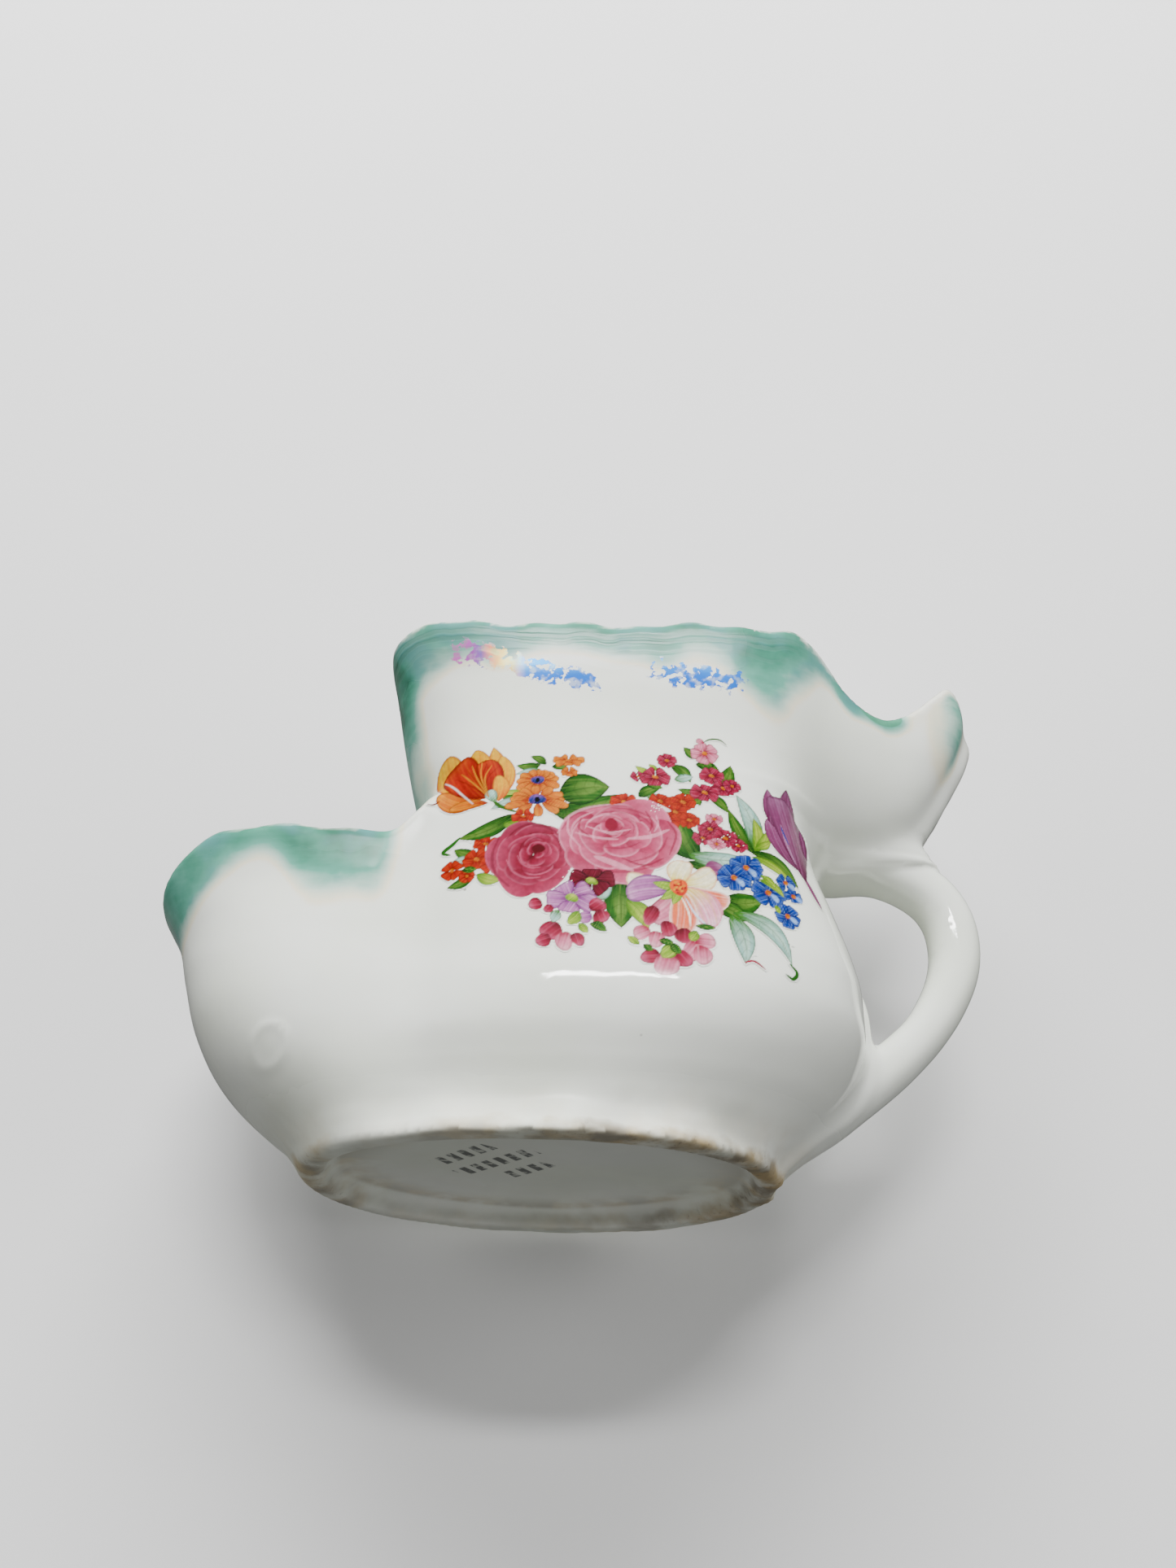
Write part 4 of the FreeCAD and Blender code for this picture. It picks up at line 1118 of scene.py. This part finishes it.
# along the mug: how deep the lustre reaches below the rim and the pocket's mouth, and how strong it is
RIM_BAND = [
    (-34, 60), (-31.5, 34), (-28.5, 18), (-23, 11), (-10, 7.5), (5, 6.8), (20, 8.0), (31, 10), (37, 13),
    (42, 16), (47, 12), (52, 7.5), (58, 5.5), (64, 3.6), (71, 3.6), (78, 9), (87, 9)]
RIM_INK = [
    (-33, 0.9), (-20, 0.76), (0, 0.72), (30, 0.76), (41, 0.76), (55, 0.72), (62, 0.85), (70, 0.7),
    (74, 0.10), (79, 0.10), (87, 0.05)]
MOUTH_BAND = [
    (-78, 10), (-72, 9.5), (-66, 11), (-61, 10), (-56, 8.4), (-51, 7.6), (-46, 8.5), (-40, 10.5),
    (-35, 12), (-30, 12), (-24, 12)]
MOUTH_INK = [
    (-78, 0.5), (-70, 0.6), (-63, 0.8), (-57, 0.78), (-52, 0.66), (-45, 0.76), (-38, 0.95), (-33, 0.85),
    (-29.5, 0.7), (-26.5, 0.35), (-23.5, 0.0)]


def glaze_values(points):
    """Lustre, the zone of painted highlight flakes and wear, from 0 to 1, and the depth below the rim, at
    each point.
    """
    x, y, z = points.T
    drift = 0.17 * np.sin(x * 0.23 + 1.0) + 0.12 * np.sin(x * 0.41 + y * 0.31)
    below = rim_height(x, y) - z
    under = mouth_height(x) - z
    past_neck = x - curve(z, MAIN_FRONT)
    pocket = step(-past_neck, -2.5, 1.5) * (1 - step(z, 60, 72))
    inside_mouth = step(pocket_section(x, y, z), -2.4, -1.2)
    rim_lustre = curve(x, RIM_INK) * (1 - step(below / curve(x, RIM_BAND) + 0.6 * drift, 0.4, 1.5))
    corner = (0.36 + 0.36 * step(z, 74, 86)) * (1 - step(past_neck, 1.5, 6.5)) * step(z, 56, 66)
    mouth_lustre = curve(x, MOUTH_INK) * (1 - step(under / curve(x, MOUTH_BAND) + drift, 0.4, 1.5))
    mouth_lustre = mouth_lustre * np.maximum(pocket, 1 - step(x, -30, -24)) * (z < 74)
    mouth_lustre = mouth_lustre * (0.4 + 0.6 * inside_mouth)
    horn = (0.18 * step(x, 73, 79) + 0.32 * step(x, 79, 84)) * step(np.abs(y), 6.0, 9.0)
    horn = horn * step(below, 1.2, 3.5) * (1 - step(below, 12, 24))
    lustre = np.maximum(np.maximum(rim_lustre * (below < 48), horn), np.maximum(mouth_lustre, corner))
    # Painted highlight: two bands on the front rim, where the key lamp's reflection falls, get painted
    # reflection flakes.
    streak = step(x, -22, -18) * (1 - step(x, 6, 10)) * (1 - step(np.abs(z - 94 + 0.28 * (x + 20)), 0.8, 3.4))
    patch = step(x, 16, 22) * (1 - step(x, 33, 38)) * (1 - step(np.abs(z - 89.3 + 0.14 * (x - 18)), 1.0, 4.2))
    painted_gleam_zone = np.maximum(streak, patch) * (y < 0)
    edge_depth = 0.9 + 2.0 * step(x, 46, 50) * (1 - step(x, 54, 58))
    edge_depth = edge_depth + 3.0 * step(x, 71, 76) + 1.2 * step(-x, 24, 29)
    wear = 1 - step(below, 0.3 * edge_depth, edge_depth)
    wear = np.maximum(wear * (below < 30), (1 - step(under, 0.2, 0.9)) * pocket * (x < -34))
    return {"lustre": lustre, "painted_gleam_zone": painted_gleam_zone, "wear": wear, "below": np.minimum(below, CLEAR_DEPTH)}


# ---- pieces ----

TRAY_MIDDLE, TRAY_HALF, TRAY_OVERLAP = 70.0, 2.0, 0.4
DRAIN_X, DRAIN_SPACING, DRAIN_RADIUS = 9.0, 13.0, 2.5
BLISTER_X, BLISTER_Z, BLISTER_RADIUS = -43.7, 15.0, 3.0
MUG_GRID = (-80, -41, -2), (91, 41, 107), 1.0
TRAY_GRID = (-32, -38, 66), (54, 38, 74), 0.9


def soap_tray(x, y, z):
    """The strainer plate in the basin, with its ring of drain holes."""
    plate = walled(main_section, x, y, z) + WALL - TRAY_OVERLAP
    plate = cut(plate, np.abs(z - TRAY_MIDDLE) - TRAY_HALF, 1.0)
    ring = [k * math.pi / 3 for k in range(6)]
    for out_x, out_y in [(0.0, 0.0), *((math.cos(angle), math.sin(angle)) for angle in ring)]:
        hole = np.hypot(x - DRAIN_X - DRAIN_SPACING * out_x, y - DRAIN_SPACING * out_y)
        plate = cut(plate, DRAIN_RADIUS - hole, 1.2)
    return plate


def blister(x, y, z):
    """The whole mug, with the small ring-shaped blister low on the pocket."""
    gap = np.hypot(x - BLISTER_X, z - BLISTER_Z)
    return mug(x, y, z) - 0.16 * np.exp(-((gap - BLISTER_RADIUS) / 0.9) ** 2) * (y < 0)


def directions(field, points):
    """Unit vectors out of a field's surface."""
    slopes = gradient(field, points)
    return slopes / (np.linalg.norm(slopes, axis=1)[:, None] + 1e-9)


def make_mug(glaze):
    """The body and the handle casting, meshed together so that their joint is smooth."""
    points, quads = surface_net(blister, *MUG_GRID)
    points = relax(settle(blister, points), quads, blister)
    normals, values = directions(blister, points), glaze_values(points)
    on_handle = near_handle(handle, *points.T) < shell(*points.T)
    on_handle = on_handle[quads].sum(axis=1) > 1
    for name, keep, node in (("mug_body", ~on_handle, "body"), ("mug_handle", on_handle, "handle")):
        used, faces = part_of(quads, keep)
        piece = make_piece(name, points[used], faces, normals[used], [node], glaze)
        for value_name, value in values.items():
            add_values(piece, value_name, value[used])


def make_tray(glaze):
    """The strainer floor, in plain glaze."""
    points, quads = surface_net(soap_tray, *TRAY_GRID)
    points = settle(soap_tray, points)
    normals = directions(soap_tray, points)
    piece = make_piece("soap_tray_glazed", points, quads, normals, ["soap_tray"], glaze)
    for value_name, value in (("lustre", 0.0), ("painted_gleam_zone", 0.0), ("wear", 0.0), ("below", CLEAR_DEPTH)):
        add_values(piece, value_name, np.full(len(points), value))


def make_transfer(name, sheet, side, printed):
    """A printed sheet on one flank, with its inks and their cover stored on its points."""
    points, quads, inks, cover = transfer_mesh(sheet, side)
    piece = make_piece(name, points, quads, directions(mug, points), [], printed)
    add_values(piece, "cover", cover)
    colours = np.concatenate([inks, np.ones((len(inks), 1))], axis=1).astype(np.float32)
    piece.data.attributes.new("ink", "FLOAT_COLOR", "POINT").data.foreach_set("color", colours.ravel())


# ---- stage ----

LENS, EYE, RISE, ROLL = 26.15, (6.6, -205.0, -47.7), math.radians(32.756), math.radians(1.366)
PAPER_GAP, STAGE_REACH = 0.4 * MM, 3.0
LAMP_AIM = (0, 0, 50)
# name, place and size in metres, power, and whether it shows as a highlight on the glaze
LAMPS = [
    ("key", (0.02, -0.86, 0.38), (0.36, 0.05), 5, True),
    ("ceiling", (-0.1, -0.66, 1.1), (1.2, 1.0), 48, False),
    ("side", (1.15, -0.7, 0.15), (0.8, 0.8), 9, False),
    ("left", (-1.15, -0.7, 0.1), (0.8, 0.8), 6, False),
    ("low", (0.05, 0.3, -1.1), (1.0, 1.0), 3.5, False),
    ("back", (0.3, 0.9, 0.9), (1.2, 1.0), 18, False)]


def camera():
    """The view from below the front flank, looking up at it."""
    data = bpy.data.cameras.new("camera")
    data.lens, data.sensor_width, data.clip_start = LENS, 36.0, 0.01
    forward, level = np.array([0, math.cos(RISE), math.sin(RISE)]), np.array([1.0, 0, 0])
    right = math.cos(ROLL) * level + math.sin(ROLL) * np.cross(level, forward)
    axes = np.stack([right, np.cross(right, forward), -forward, to_metres(np.array(EYE))], axis=1)
    eye = add_object("camera", data)
    eye.matrix_world = Matrix([*axes.tolist(), (0, 0, 0, 1)])
    bpy.context.scene.camera = eye


def area_light(name, place, size, power, mirrored):
    """A soft lamp, turned to the mug."""
    data = bpy.data.lights.new(name, "AREA")
    data.shape, data.size, data.size_y, data.energy = "RECTANGLE", size[0], size[1], power
    lamp = add_object(name, data)
    lamp.location = place
    lamp.visible_glossy = mirrored
    aim = Vector(to_metres(np.array(LAMP_AIM, float)))
    lamp.rotation_euler = (aim - lamp.location).to_track_quat("-Z", "Y").to_euler()


def stage_plane(name, corners):
    """A pale sheet of paper that shows from its front only."""
    graph = Graph(bpy.data.materials.new(name))
    tone = graph.noise(400.0).span(0.3, 0.7, 0.70, 0.74)
    graph.feed(Base_Color=graph.node("CombineColor", {0: tone, 1: tone, 2: tone}), Roughness=0.75)
    back, clear = graph.node("NewGeometry", out="Backfacing"), graph.node("BsdfTransparent")
    paper = Value(graph, graph.shader.outputs[0])
    shown = graph.node("MixShader", {0: back, 1: paper, 2: clear})
    graph.plug(shown, graph.tree.nodes["Material Output"].inputs["Surface"])
    mesh = bpy.data.meshes.new(name)
    mesh.from_pydata(corners, [], [(0, 1, 2, 3)])
    mesh.materials.append(graph.owner)
    plane = add_object(name, mesh)
    plane.visible_glossy = plane.visible_diffuse = plane.visible_shadow = False


def surroundings():
    """A plain pale world, a little brighter from above."""
    graph = Graph(bpy.data.worlds.new("studio"), "Background")
    up = graph.split(graph.node("TexCoord", out="Generated"))[2]
    heights = {"Value": up, "From Min": -0.4, "From Max": 0.3, "To Min": 0.05, "To Max": 0.22}
    glow = graph.node("MapRange", heights)
    seen = graph.node("LightPath", out="Is Camera Ray")
    graph.feed(Color=(0.86, 0.87, 0.84, 1), Strength=graph.node("Mix", {"Factor": seen, 2: glow, 3: 0.9}))
    bpy.context.scene.world = graph.owner


def studio():
    """The paper close behind the mug, the floor it stands on, and soft lamps."""
    behind, far = cad_box[1][1] + PAPER_GAP, STAGE_REACH
    square = ((-far, -far), (far, -far), (far, far), (-far, far))
    stage_plane("resting_paper", [(across, behind, up) for across, up in square])
    stage_plane("floor", [(across, deep, 0) for across, deep in square])
    for lamp in LAMPS:
        area_light(*lamp)
    surroundings()


porcelain = porcelain_material()
enamel = transfer_material()
make_mug(porcelain)
make_tray(porcelain)
make_transfer("transfer_front", print_spray(), -1, enamel)
make_transfer("transfer_back", print_sprig(), 1, enamel)
camera()
studio()

bpy.context.view_layer.update()
